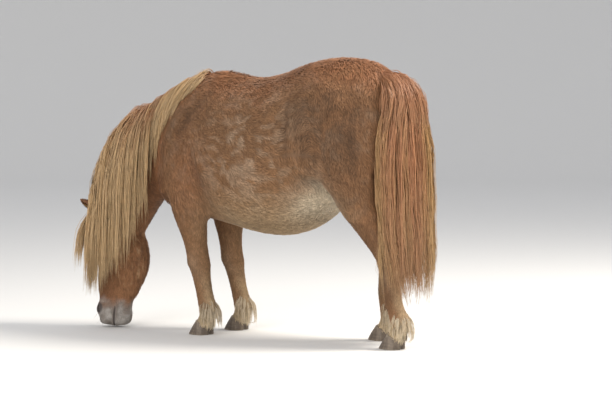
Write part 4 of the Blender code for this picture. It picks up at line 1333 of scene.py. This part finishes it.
def evened(path, count):
    """A path's points set at even steps, as an array."""
    line = np.array(path)
    travel = np.concatenate(([0], np.cumsum(np.linalg.norm(np.diff(line, axis=0), axis=1))))
    places = np.linspace(0, travel[-1], count)
    return np.stack([np.interp(places, travel, line[:, i]) for i in range(3)], axis=1)


def crest_point(share):
    """A point of the crest, from the poll (0) to the withers (1), and the direction along it."""
    line = [Vector((x, 0, z)) for x, z, *_ in reversed(NECK[1:])] + [Vector((-0.270, 0, 1.006))]
    start, end = sampled(line, max(share - 0.02, 0)), sampled(line, min(share + 0.02, 1))
    return turned(sampled(line, share)), (turned(end) - turned(start)).normalized()


GUIDE_POINTS = 16
FEATHER_GUIDES = 36
LASHES = 24
EAR_GUIDES = 46
WHISKERS = 44


def guide(path, out):
    """A guide whose strands all face the same way."""
    return np.array(path), np.tile(np.array(out), (GUIDE_POINTS, 1))


def mane_guides(surface, draw, falls):
    """Guides of the mane on one side: each a path, the way outwards along it and a number for its shade."""
    found = []
    for count, start, stop, offset, side_name, clear, length_share, rise, ahead in MANE_LAYERS:
        if side_name != falls:
            continue
        for i in range(count):
            share = start + (i + 0.5 + draw.uniform(-0.5, 0.5)) / count * (stop - start)
            share = min(max(share, 0.0), 1.0)
            crest, along = crest_point(share)
            side = Vector((0, 0, 1)).cross(along).normalized()
            root, normal = surface.nearest(crest + side * (offset + draw.uniform(-0.006, 0.006)))
            thick = smooth_step((share - 0.05) / 0.30)
            heading = normal * rise * (0.2 + 0.8 * thick) * draw.uniform(0.7, 1.2) + side * SIDES[falls]
            heading -= along * draw.uniform(-0.15, 0.20)
            wanted = float(between(MANE_LENGTH, share, 0, 1)) * length_share
            length = wanted * (draw.uniform(0.84, 1.07) if draw.random() < 0.80 else draw.uniform(0.6, 0.9))
            lean = Vector((-ahead + draw.uniform(-0.06, 0.04), draw.uniform(-0.03, 0.03), 0))
            lie = clear * (0.35 + 0.65 * thick) * draw.uniform(0.75, 1.25)
            path = evened(hanging(surface, root, heading, length, lie, 0.25, lean), GUIDE_POINTS)
            out = np.array([surface.outward(Vector(p)) for p in path])
            found.append((path, out))
    return found


def forelock_guides(surface, draw):
    found = []
    yaw = Matrix.Rotation(TURN_ANGLE, 3, "Z")
    for count, clear, length, reach in FORELOCK_RINGS:
        for i in range(count):
            across = (i + 0.5 + draw.uniform(-0.5, 0.5)) / count * 2 - 1
            place = Vector((-0.735 + draw.uniform(-0.008, 0.008), 0.034 * across, 0.468 + 0.010 * reach))
            root, _ = surface.nearest(turned(place))
            heading = yaw @ Vector((-1.0, 1.25 * across - 0.10, -0.45 + 0.22 * reach))
            wanted = length * draw.uniform(0.80, 1.05)
            off = clear * draw.uniform(0.7, 1.2)
            path = evened(hanging(surface, root, heading, wanted, off, 0.29 - 0.17 * reach), GUIDE_POINTS)
            spread = np.linalg.norm(path[:, :2] - np.array(root)[:2], axis=1).max()
            if path[:, 2].max() > root.z + FORELOCK_RISE or spread > FORELOCK_SPREAD:
                continue
            found.append(guide(path, unit(np.array(yaw @ Vector((-1.0, 1.2 * across, 0.3))))))
    return found


def tail_point(share, angle, out):
    """A point of the tail, angle round from its back, out from its middle (0) to its hair's edge (1)."""
    rows = np.array(spline(TAIL, 4))
    line = rows[:, :2]
    travel = np.concatenate(([0], np.cumsum(np.linalg.norm(np.diff(line, axis=0), axis=1))))
    travel /= travel[-1]
    x, z, half_depth, half_width = (np.interp(share, travel, rows[:, i]) for i in range(4))
    before = [np.interp(max(share - 0.02, 0), travel, rows[:, i]) for i in range(2)]
    after = [np.interp(min(share + 0.02, 1), travel, rows[:, i]) for i in range(2)]
    along = Vector((after[0] - before[0], 0, after[1] - before[1])).normalized()
    back = Vector((-along.z, 0, along.x))
    across = Vector((0, out * half_width * math.sin(angle), 0))
    return Vector((x, 0, z)) + back * (out * half_depth * math.cos(angle)) + across


def tail_guides(surface, draw):
    found = []
    for count, root_share, tip_share, reach in TAIL_TIERS:
        for i in range(count):
            angle = 2 * HALF_TURN * (i + draw.uniform(-0.5, 0.5)) / count
            top = root_share * draw.uniform(0.25, 1.15)
            tip = tip_share - abs(draw.gauss(0.0, 0.06))
            start = 0.42
            spread = reach * draw.uniform(0.86, 1.0)
            path = []
            for k in range(GUIDE_POINTS):
                fall = k / (GUIDE_POINTS - 1)
                out = start + (spread - start) * smooth_step(fall * 3.0)
                swing = angle + 0.10 * math.sin(fall * 5 + i)
                place = top + (tip - top) * fall
                point = tail_point(place, swing, out)
                point += Vector((0.4, 1.0, 0)) * (0.0075 * fall * math.sin(place * 30 + angle * 3))
                path.append(surface.lifted(point, 0.003 + 0.010 * reach * fall))
            out = unit(np.array((math.cos(angle), math.sin(angle), 0.0)))
            found.append(guide(path, out))
    return found


def feather_guides(surface, draw):
    """Guides of the long hair behind each fetlock and down the back of the pastern."""
    found = []
    for pair, side in STEP:
        centre = foot_centre(pair, side)
        for i in range(FEATHER_GUIDES):
            angle = HALF_TURN * 0.56 * ((i + draw.uniform(0.0, 1.0)) / FEATHER_GUIDES * 2 - 1)
            out = Vector((math.cos(angle), math.sin(angle), 0))
            start = Vector((centre.x + 0.020, centre.y, draw.uniform(0.080, 0.142)))
            root, _ = surface.nearest(start + out * 0.05)
            length = 0.075 * draw.uniform(0.75, 1.15) * (0.65 + 0.35 * math.cos(angle))
            path = hanging(surface, root, out * 0.35 + DOWN, length, 0.003, 0.3, out * 0.10, steps=12)
            path = evened([Vector((p.x, p.y, max(p.z, 0.012))) for p in path], GUIDE_POINTS)
            found.append(guide(path, out))
    return found


def lash_guides():
    """Guides of the lashes of both upper lids, straight out and a little up from the rim."""
    found = []
    for sign in SIDES.values():
        along, front, out = eye_axes(sign)
        for i in range(LASHES):
            place = (i + 0.5) / LASHES * 2 - 1
            arch = (1 - place**2) ** 0.8
            root = along * 0.0185 * place + front * (0.0112 * arch + 0.0006)
            root = root + out * math.sqrt(max(EYE_RADIUS**2 - root @ root, 0)) + out * 0.0015
            heading = unit(out + front * 0.25 + along * 0.35 * place)
            reach = 0.013 * (0.65 + 0.35 * arch)
            t = np.linspace(0, 1, GUIDE_POINTS)[:, None]
            path = root + heading * (reach * t) + front * (0.0045 * t**2)
            place_on_head = moved_by(head_place(), path + np.array(flipped(EYE, sign)))
            facing = np.array(head_place().to_3x3()) @ front
            found.append(guide(place_on_head, facing))
    return found


def ear_guides(roots, draw):
    """Guides of the soft hair that fills each ear, from its inner wall towards its opening and tip."""
    found = []
    for side, sign in SIDES.items():
        along, opening, across = ear_frame(sign)
        for _ in range(EAR_GUIDES):
            share = draw.uniform(0.06, 0.62)
            _, half_width, gape = (float(between(EAR, share, 0, i)) for i in range(3))
            first = math.radians(gape / 2)
            angle = draw.uniform(first, 2 * HALF_TURN - first)
            inner = half_width - EAR_THICKNESS * (1 - 0.35 * share)
            spot = opening * (0.8 * inner * math.cos(angle)) + across * (inner * math.sin(angle))
            root = roots[side] + along * (share * EAR_LENGTH) + spot
            inwards = (-spot).normalized()
            heading = (inwards * 0.6 + opening * 0.45 + along * 0.9).normalized()
            reach = draw.uniform(0.020, 0.034) * (1 - 0.45 * share)
            t = np.linspace(0, 1, GUIDE_POINTS)[:, None]
            path = np.array(root) + np.array(heading) * (reach * t) + np.array(along) * (0.006 * t**2)
            found.append(guide(path, inwards))
    return found


def whisker_guides(surface, draw):
    """Guides of the few long hairs of the lips and chin."""
    found = []
    for i in range(WHISKERS):
        sign = -1 if i % 2 else 1
        x, y, z = draw.uniform(-0.765, -0.640), sign * draw.uniform(0.015, 0.050), draw.uniform(0.010, 0.075)
        place = Vector((x, y, z))
        root, normal = surface.nearest(head_place() @ place)
        heading = (normal + DOWN * draw.uniform(0.2, 0.7)).normalized()
        reach = draw.uniform(0.014, 0.030)
        t = np.linspace(0, 1, GUIDE_POINTS)[:, None]
        drop = np.array(DOWN) * (0.006 * t**2)
        path = np.array(root) - np.array(normal) * 0.001 + np.array(heading) * (reach * t) + drop
        path[:, 2] = np.maximum(path[:, 2], 0.002)
        found.append(guide(path, normal))
    return found


def strands(guides, each, spread, width, wave, draw, rings=9, shortest=0.6):
    """Fine strands that follow guides. spread and width are given at the root, the middle and the tip.

    Gives the corners, faces, and for each strand its guide's number, root and place along it."""
    paths = np.array([path for path, _ in guides])
    outs = unit(np.array([out for _, out in guides]))
    owners = np.repeat(np.arange(len(guides)), each)
    count = len(owners)
    reach = draw.uniform(shortest, 1.0, count) ** 0.6
    reach[::each] = 1.0
    t = np.linspace(0, 1, rings)
    at = t[None] * reach[:, None] * (paths.shape[1] - 1)
    low = np.clip(at.astype(int), 0, paths.shape[1] - 2)
    part = (at - low)[..., None]
    own, outward = paths[owners], outs[owners]
    rows = np.arange(count)[:, None]
    line = own[rows, low] * (1 - part) + own[rows, low + 1] * part
    out = unit(outward[rows, low] * (1 - part) + outward[rows, low + 1] * part)
    along = unit(np.gradient(line, axis=1))
    out = unit(out - along * (out * along).sum(2, keepdims=True))
    across = np.cross(along, out)
    turn = draw.uniform(0, 2 * np.pi, count)
    radius = np.sqrt(draw.random(count))
    stops = np.array((0.0, 0.5, 1.0))
    size = np.interp(t, stops, spread)[None, :] * radius[:, None]
    ripple = wave * ramp(t, 0.0, 0.3)[None, :]
    phase = draw.uniform(0, 2 * np.pi, (count, 4))
    pace = draw.uniform(5, 13, (count, 2))
    sway = np.sin(t[None] * pace[:, :1] + phase[:, :1])
    sway = sway + 0.5 * np.sin(t[None] * 2.3 * pace[:, 1:] + phase[:, 1:2])
    lift = np.sin(t[None] * pace[:, 1:] + phase[:, 2:3])
    line = line + across * (size * np.cos(turn)[:, None] + ripple * sway)[..., None]
    line = line + out * (size * 0.7 * (1 + np.sin(turn))[:, None] + ripple * 0.5 * (1 + lift))[..., None]
    thick = np.interp(t, stops, width)[None, :] * draw.uniform(0.7, 1.3, count)[:, None]
    thick = thick * np.minimum(1, (1.02 - t[None]) * 5) ** 0.5
    along = unit(np.gradient(line, axis=1))
    out = unit(out - along * (out * along).sum(2, keepdims=True))
    across = np.cross(along, out)
    twist = draw.uniform(-0.6, 0.6, count)[:, None, None]
    face = unit(out * np.cos(twist) + across * np.sin(twist))
    wide = np.cross(along, face)
    half = thick[..., None] / 2
    corners = np.stack((line - wide * half, line + wide * half, line + face * half * 0.8), axis=2)
    corners = corners.reshape(count, rings * 3, 3)
    faces = []
    for k in range(rings - 1):
        for i in range(3):
            j = (i + 1) % 3
            a, b, c, d = 3 * k + i, 3 * k + j, 3 * k + 3 + j, 3 * k + 3 + i
            faces += [(a, b, c), (a, c, d)]
    last = 3 * (rings - 1)
    faces += [(0, 2, 1), (last, last + 1, last + 2)]
    faces = np.array(faces)[None] + (rings * 3 * np.arange(count))[:, None, None]
    return corners, faces.reshape(-1, 3), owners, np.repeat(t, 3)


def hair_mesh(name, guides, made, tint):
    """A piece of long hair. tint gives the colour of each strand at its root, middle and tip."""
    corners, faces, owners, t = made
    count = len(corners)
    roots = corners[:, :3].mean(1)
    tones = tint(roots, np.array([path for path, _ in guides])[owners], owners, count)
    first = np.interp(t, (0.0, 0.15, 0.40), (1, 1, 0))[None, :, None]
    third = np.interp(t, (0.5, 1.0), (0, 1))[None, :, None]
    second = 1 - first - third
    colours = tones[0][:, None] * first + tones[1][:, None] * second + tones[2][:, None] * third
    colours = np.clip(colours, 0, 1).reshape(-1, 3)
    around = np.tile(np.array((-0.5, 0.5, 0.0)), len(t) // 3)
    spots = np.stack((around, t), axis=1)[None] * PATCH
    places = (root_places(roots)[:, None, :] + spots).reshape(-1, 2)
    return mesh_of(name, corners.reshape(-1, 3), faces, colours, places)


def toned(base, other, share):
    return base * (1 - share[:, None]) + np.array(other) * share[:, None]


def mane_tint(draw):
    """Flaxen hair, reddish at the crest and paler at the tips, partly of its own and partly painted light.
    Clumps of darker strands are painted shade deep in the mane; a few strands are darker or paler of their
    own.
    """

    def tint(roots, paths, owners, count):
        streak = noise(row(owners * 0.37), 1.0, 21)
        own = draw.random(count)
        base = np.tile(np.array(FLAXEN), (count, 1))
        # Painted shade in clumps of strands, and a few darker strands of their own
        dark = np.clip(0.80 * ramp(streak, 0.42, 0.80) + 0.45 * ramp(own, 0.7, 1.0), 0, 1)
        base = toned(base, SHADED_FLAXEN, dark)
        base = toned(base, PALE_FLAXEN, 0.5 * ramp(own, 0.0, 0.25)[::-1])
        root = toned(base * 0.85, RED_BROWN, 0.72 + 0.25 * own)
        # Paler tips, partly their own colour and partly painted light
        tip = toned(base * 1.05, PALE_FLAXEN, 0.45 + 0.30 * own)
        return root, base, tip

    return tint


def tail_tint(draw):
    """Red-brown down the middle and flaxen at the left edge, with pale strands throughout; the pale right edge
    is painted light.
    """

    def tint(roots, paths, owners, count):
        middle = paths[:, GUIDE_POINTS // 2]
        angle = np.arctan2(middle[:, 1], middle[:, 0] - 0.590)
        gap_left = np.abs(np.angle(np.exp(1j * (angle - math.radians(-110)))))
        gap_lit_edge = np.abs(np.angle(np.exp(1j * (angle - math.radians(48)))))
        streak = noise(row(owners * 0.41), 1.0, 31)
        own = draw.random(count)
        blur = 0.5 * (own - 0.5) + 0.5 * (streak - 0.5)
        # The pale left edge is the hair's own flaxen; the pale right edge is painted light
        pale = np.maximum(1 - ramp(gap_left + 0.4 * blur, 0.18, 0.46), 1 - ramp(gap_lit_edge + blur, 0.25, 0.95))
        short = ramp(paths[:, -1, 2], 0.50, 0.60)
        pale = pale * (1 - short)
        base = np.tile(np.array(TAIL_RED), (count, 1))
        mix = 0.9 * pale + 0.45 * ramp(streak, 0.6, 0.9) + 0.30 * ramp(own, 0.7, 1)
        base = toned(base, FLAXEN, np.clip(mix * (1 - 0.7 * short), 0, 1))
        base = toned(base, DARK_BROWN, 0.30 * ramp(own, 0.0, 0.2)[::-1] * (1 - pale))
        root = toned(base * 0.9, RED_BROWN, 0.45 - 0.3 * pale)
        tip = toned(base, PALE_FLAXEN, 0.12 + 0.2 * own + 0.2 * pale)
        return root, base, tip

    return tint


def plain_tint(colour, other):
    """Hair between two colours, each strand its own mix."""

    def maker(draw):
        def tint(roots, paths, owners, count):
            base = toned(np.tile(np.array(colour), (count, 1)), other, draw.random(count))
            return base * 0.80, base, base * 1.10

        return tint

    return maker


def long_hair(surface, ear_roots):
    """The mane, forelock, tail, feather, lashes, whiskers and the hair of the ears."""
    draw = random.Random(7)
    arrays = np.random.default_rng(7)
    made = []
    left = mane_guides(surface, draw, "left")
    right = mane_guides(surface, draw, "right")
    forelock = forelock_guides(surface, draw)
    tail = tail_guides(surface, draw)
    feather = feather_guides(surface, draw)
    lashes = lash_guides()
    ears = ear_guides(ear_roots, draw)
    whiskers = whisker_guides(surface, draw)
    half = len(left) // 2
    thick = (0.0022, 0.0024, 0.0010)
    cream = plain_tint(FEATHER_CREAM, PALE_CREAM)
    lash = plain_tint(LASH_BROWN, LASH_BROWN)
    inside = plain_tint(TAN, FLAXEN)
    sets = (
        ("mane_left_inner", left[:half], 15, (0.009, 0.012, 0.006), thick, 0.0022, mane_tint, 8),
        ("mane_left_outer", left[half:], 15, (0.009, 0.012, 0.006), thick, 0.0022, mane_tint, 8),
        ("mane_right", right, 10, (0.009, 0.009, 0.004), thick, 0.0020, mane_tint, 7),
        ("forelock", forelock, 10, (0.007, 0.013, 0.009), thick, 0.0022, mane_tint, 9),
        ("tail_inner", tail[:150], 11, (0.010, 0.014, 0.007), (0.0028, 0.0030, 0.0012), 0.0040, tail_tint, 9),
        ("tail_outer", tail[150:260], 16, (0.009, 0.012, 0.007), thick, 0.0040, tail_tint, 9),
        ("tail_dock", tail[260:], 9, (0.008, 0.010, 0.006), thick, 0.0030, tail_tint, 7),
        ("feather", feather, 6, (0.004, 0.006, 0.002), (0.0014, 0.0016, 0.0006), 0.0008, cream, 6),
        ("lashes", lashes, 1, (0.0, 0.0, 0.0), (0.0007, 0.0005, 0.0002), 0.0, lash, 6),
        ("ear_hair", ears, 5, (0.002, 0.003, 0.001), (0.0012, 0.0012, 0.0004), 0.0006, inside, 6),
        ("whiskers", whiskers, 1, (0.0, 0.0, 0.0), (0.0006, 0.0005, 0.0002), 0.0004, lash, 6),
    )
    for name, guides, each, spread, width, wave, tint, rings in sets:
        built = strands(guides, each, spread, width, wave, arrays, rings)
        made.append(hair_mesh(name, guides, built, tint(arrays)))
    return made


def hoof(pair, side):
    """A hoof with growth rings, a rounded sole edge, worn heels and a soft band at the coronet."""
    centre = foot_centre(pair, side)
    known = np.array(HOOF_LEVELS)
    rings = []
    for k in range(HOOF_RINGS + 1):
        fall = k / HOOF_RINGS
        toe, heel, half_width = (float(np.interp(fall, known[:, 0], known[:, i])) for i in (1, 2, 3))
        wear = 0.0016 * smooth_step((fall - 0.93) / 0.07)
        growth = 0.00028 * math.sin(fall * 34) + 0.00018 * math.sin(fall * 71 + 1)
        band = 0.0012 * math.exp(-(((fall - 0.06) / 0.05) ** 2))
        ring = []
        for angle in around(HOOF_POINTS):
            ahead, across = math.cos(angle), math.sin(angle)
            cleft = 0.010 * math.exp(-(((abs(angle - HALF_TURN)) / 0.16) ** 2))
            chips = 0.0006 * math.sin(angle * 9 + centre.x * 50) * smooth_step((fall - 0.8) / 0.2)
            extra = growth + band - wear + chips
            reach = -(toe + extra) * ahead if ahead > 0 else (heel + extra - cleft) * abs(ahead) ** 0.8
            top = centre.z - CORONET_SLOPE * reach
            x = centre.x + reach
            ring.append(Vector((x, centre.y + (half_width + extra) * across, top * (1 - fall))))
        rings.append(ring)
    obj = loft(f"hoof_{pair}_{side}", rings, triangles=False)
    obj.data.shade_smooth()
    obj.data.set_sharp_from_angle(angle=math.radians(50))
    return obj


def eye(side):
    """An eyeball with the bulge of its cornea and a long, level pupil, in the colours of its parts."""
    sign = SIDES[side]
    along, front, out = eye_axes(sign)
    bm = bmesh.new()
    bmesh.ops.create_uvsphere(bm, u_segments=96, v_segments=64, radius=1.0)
    mesh = bpy.data.meshes.new(f"eyeball_{side}")
    bm.to_mesh(mesh)
    bm.free()
    points = coords(mesh)
    reach = np.degrees(np.arccos(np.clip(points[:, 2], -1, 1)))
    bulge = 1 + 0.055 * (1 - ramp(reach, 20, 46))
    frame = np.stack((along, front, out), axis=1)
    place = points * bulge[:, None] * EYE_RADIUS
    set_coords(mesh, moved_by(head_place(), place @ frame.T + np.array(flipped(EYE, sign))))
    iris = 1 - ramp(reach, 36, 41)
    streaks = noise(row(np.arctan2(points[:, 1], points[:, 0]) * 6), 0.6, 5)
    pupil = 1 - ramp(np.hypot(points[:, 0] / 0.40, points[:, 1] / 0.22), 0.85, 1.05)
    colours = np.tile(np.array((0.10, 0.065, 0.05)), (len(points), 1))
    colours = mixed(colours, (0.036, 0.016, 0.007), iris)
    colours = mixed(colours, (0.060, 0.028, 0.011), iris * streaks * 0.8)
    colours = mixed(colours, (0.002, 0.002, 0.003), pupil * iris)
    paint(mesh, colours)
    mesh.shade_smooth()
    return linked(f"eyeball_{side}", mesh)


def node(tree, kind, **values):
    made = tree.nodes.new(kind)
    for name, value in values.items():
        if name in made.inputs:
            made.inputs[name].default_value = value
        else:
            setattr(made, name, value)
    return made


def levelled(tree, source, low, high, middle, spread):
    """Maps a noise between low and high to a range round the middle."""
    values = {"From Min": low, "From Max": high, "To Min": middle - spread, "To Max": middle + spread}
    made = node(tree, "ShaderNodeMapRange", **values)
    tree.links.new(source.outputs["Fac"], made.inputs["Value"])
    return made.outputs["Result"]


def material(name, roughness, bump_scale, bump_strength, bump_distance, variation, **constants):
    """Paints the tone of each vertex, varied by noise, with a fine bump and uneven roughness."""
    made = bpy.data.materials.new(name)
    made.use_nodes = True
    tree = made.node_tree
    shader = tree.nodes["Principled BSDF"]
    link = tree.links.new
    place = node(tree, "ShaderNodeTexCoord")
    stretch = node(tree, "ShaderNodeMapping")
    stretch.inputs["Scale"].default_value = (1.0, 1.0, 0.35)
    link(place.outputs["Object"], stretch.inputs["Vector"])
    grain = node(tree, "ShaderNodeTexNoise", Scale=bump_scale, Detail=4.0, Roughness=0.6)
    link(stretch.outputs["Vector"], grain.inputs["Vector"])
    soft = node(tree, "ShaderNodeTexNoise", Scale=bump_scale * 0.11, Detail=3.0)
    link(place.outputs["Object"], soft.inputs["Vector"])
    tone = node(tree, "ShaderNodeVertexColor", layer_name="tone")
    both = node(tree, "ShaderNodeMath", operation="MULTIPLY")
    link(levelled(tree, grain, 0.25, 0.75, 1, variation), both.inputs[0])
    link(levelled(tree, soft, 0.3, 0.7, 1, variation * 0.6), both.inputs[1])
    shade = node(tree, "ShaderNodeVectorMath", operation="SCALE")
    link(tone.outputs["Color"], shade.inputs[0])
    link(both.outputs["Value"], shade.inputs["Scale"])
    link(shade.outputs["Vector"], shader.inputs["Base Color"])
    link(levelled(tree, grain, 0, 1, roughness, 0.08), shader.inputs["Roughness"])
    bump = node(tree, "ShaderNodeBump", Strength=bump_strength, Distance=bump_distance)
    link(grain.outputs["Fac"], bump.inputs["Height"])
    link(bump.outputs["Normal"], shader.inputs["Normal"])
    for socket, value in constants.items():
        shader.inputs[socket.replace("_", " ")].default_value = value
    return made


def hoof_colours(obj):
    """Dark horn with paler growth rings and streaks that run down from the coronet."""
    points = coords(obj.data)
    middle = points.mean(0)
    angle = np.arctan2(points[:, 1] - middle[1], points[:, 0] - middle[0])
    rise = points[:, 2] / CORONET_HEIGHT
    down = noise(row(angle * 5, rise * 0.4), 0.5, 41)
    rings = noise(row(rise * 9, angle * 0.5), 1.0, 42)
    colours = np.tile(np.array((0.135, 0.105, 0.080)), (len(points), 1))
    colours = mixed(colours, (0.240, 0.190, 0.140), 0.50 * ramp(down, 0.45, 0.85))
    colours = mixed(colours, (0.060, 0.048, 0.038), 0.35 * ramp(rings, 0.5, 0.9))
    colours = mixed(colours, (0.330, 0.275, 0.200), 0.55 * ramp(rise, 0.85, 1.1))
    colours = mixed(colours, (0.240, 0.200, 0.150), 0.6 * ramp(-rise, -0.12, 0.0))
    paint(obj.data, colours)


def area_light(name, place, target, size, power, colour=(1, 1, 1)):
    light = bpy.data.lights.new(name, "AREA")
    light.shape = "DISK"
    light.size = size
    light.energy = power
    light.color = colour
    obj = linked(name, light)
    obj.location = place
    obj.rotation_mode = "QUATERNION"
    obj.rotation_quaternion = (Vector(place) - Vector(target)).to_track_quat("Z", "Y")
    return obj


def backdrop():
    """A flat round floor that sweeps up all round into a wall, so that no edge of it shows."""
    bend = FLOOR_BEND
    profile = [(0.01, 0), (FLOOR_RADIUS, 0)]
    for i in range(1, 17):
        angle = HALF_TURN / 2 * i / 16
        profile.append((FLOOR_RADIUS + bend * math.sin(angle), bend * (1 - math.cos(angle))))
    profile.append((FLOOR_RADIUS + bend, WALL_HEIGHT))
    bm = bmesh.new()
    loops = []
    for radius, height in profile:
        ring = [(radius * math.cos(a), radius * math.sin(a), height) for a in around(FLOOR_POINTS)]
        loops.append([bm.verts.new(place) for place in ring])
    for inner, outer in zip(loops, loops[1:]):
        for i in range(FLOOR_POINTS):
            j = (i + 1) % FLOOR_POINTS
            bm.faces.new((inner[i], outer[i], outer[j], inner[j]))
    bm.faces.new(loops[0])
    mesh = bpy.data.meshes.new("floor")
    bm.to_mesh(mesh)
    bm.free()
    mesh.shade_smooth()
    return linked("floor", mesh)


def studio(shift):
    """Soft light from above the croup, a wide fill on the near side, and the photo's camera."""
    floor = backdrop()
    paper = bpy.data.materials.new("floor")
    paper.use_nodes = True
    shader = paper.node_tree.nodes["Principled BSDF"]
    shader.inputs["Base Color"].default_value = (0.74, 0.73, 0.71, 1)
    shader.inputs["Roughness"].default_value = 0.9
    floor.data.materials.append(paper)
    world = bpy.data.worlds.new("studio")
    bpy.context.scene.world = world
    world.use_nodes = True
    world.node_tree.nodes["Background"].inputs["Color"].default_value = (0.93, 0.95, 1.0, 1)
    world.node_tree.nodes["Background"].inputs["Strength"].default_value = 0.75
    area_light("key", (3.2, 1.6, 4.2), (0.1, 0, 0.6), 2.2, 360, (1.0, 0.95, 0.87))
    area_light("fill", (0.4, -5.0, 2.5), (-0.1, 0, 0.5), 3.6, 160, (1.0, 0.96, 0.91))
    right = Vector((math.cos(VIEW_AZIMUTH), math.sin(VIEW_AZIMUTH), 0))
    flat = Vector((right.y, -right.x, 0))
    back = flat * math.cos(VIEW_ELEVATION) + Vector((0, 0, math.sin(VIEW_ELEVATION)))
    up = back.cross(right)
    camera = bpy.data.cameras.new("camera")
    camera.sensor_width = SENSOR_WIDTH
    camera.lens = PIXELS_PER_METRE * VIEW_DISTANCE / IMAGE_WIDTH * SENSOR_WIDTH
    camera.clip_end = 200
    seat = linked("camera", camera)
    aside = (ANCHOR_PIXEL[0] - IMAGE_WIDTH / 2) / PIXELS_PER_METRE
    above = (IMAGE_HEIGHT / 2 - ANCHOR_PIXEL[1]) / PIXELS_PER_METRE
    seat.location = ANCHOR + shift + back * VIEW_DISTANCE - right * aside - up * above
    seat.rotation_mode = "QUATERNION"
    seat.rotation_quaternion = back.to_track_quat("Z", "Y")
    bpy.context.scene.camera = seat
    bpy.context.scene.view_settings.view_transform = "Standard"


def packed_shift():
    """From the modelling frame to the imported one, read from where a fore hoof's solid stands."""
    low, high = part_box("fore_hoof_left")
    centre = foot_centre("fore", "left")
    return Vector((low.x - (centre.x - HOOF_LEVELS[-1][1]), (low.y + high.y) / 2 - centre.y, low.z))


def dress(obj, look, slot, shift, *nodes):
    obj.data.materials.clear()
    obj.data.materials.append(look)
    obj.data.transform(Matrix.Translation(shift))
    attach(obj, "root")
    if nodes:
        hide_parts(*nodes)


def main():
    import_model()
    shift = packed_shift()
    coat_look = material("coat", 0.62, 420, 0.5, 0.0012, 0.16, Sheen_Weight=0.06, Specular_IOR_Level=0.22)
    skin_look = material("skin", 0.68, 520, 0.8, 0.0016, 0.22, Specular_IOR_Level=0.35)
    hair_look = material("hair", 0.46, 500, 0.3, 0.0008, 0.14, Specular_IOR_Level=0.5)
    horn_look = material("horn", 0.55, 260, 0.5, 0.0008, 0.22, Specular_IOR_Level=0.4)
    eye_look = material(
        "eye", 0.16, 900, 0.02, 0.0001, 0.10,
        Coat_Weight=1.0, Coat_Roughness=0.04, Coat_IOR=1.38, Specular_IOR_Level=0.15,
    )
    skin, ear_roots = make_skin(fine_flesh())
    surface = Surface(skin)
    unwrap_skin(skin.data)
    paint(skin.data, skin_colour(coords(skin.data)))
    coat = coat_pieces(skin, np.random.default_rng(3))
    hair = long_hair(surface, ear_roots)
    for obj in hair:
        nodes = ["tail"] if obj.name.startswith("tail") else []
        dress(obj, hair_look, "hair", shift, *nodes)
    for obj in coat:
        dress(obj, coat_look, "coat", shift)
    legs = [f"{pair}_leg_{side}" for pair, side in STEP]
    dress(skin, skin_look, "coat", shift, "torso", "neck", "head", "ear_left", "ear_right", *legs)
    for pair, side in STEP:
        foot = hoof(pair, side)
        hoof_colours(foot)
        dress(foot, horn_look, "hoof", shift, f"{pair}_hoof_{side}")
    for side in SIDES:
        dress(eye(side), eye_look, "eye", shift, f"eye_{side}")
    studio(shift)


main()
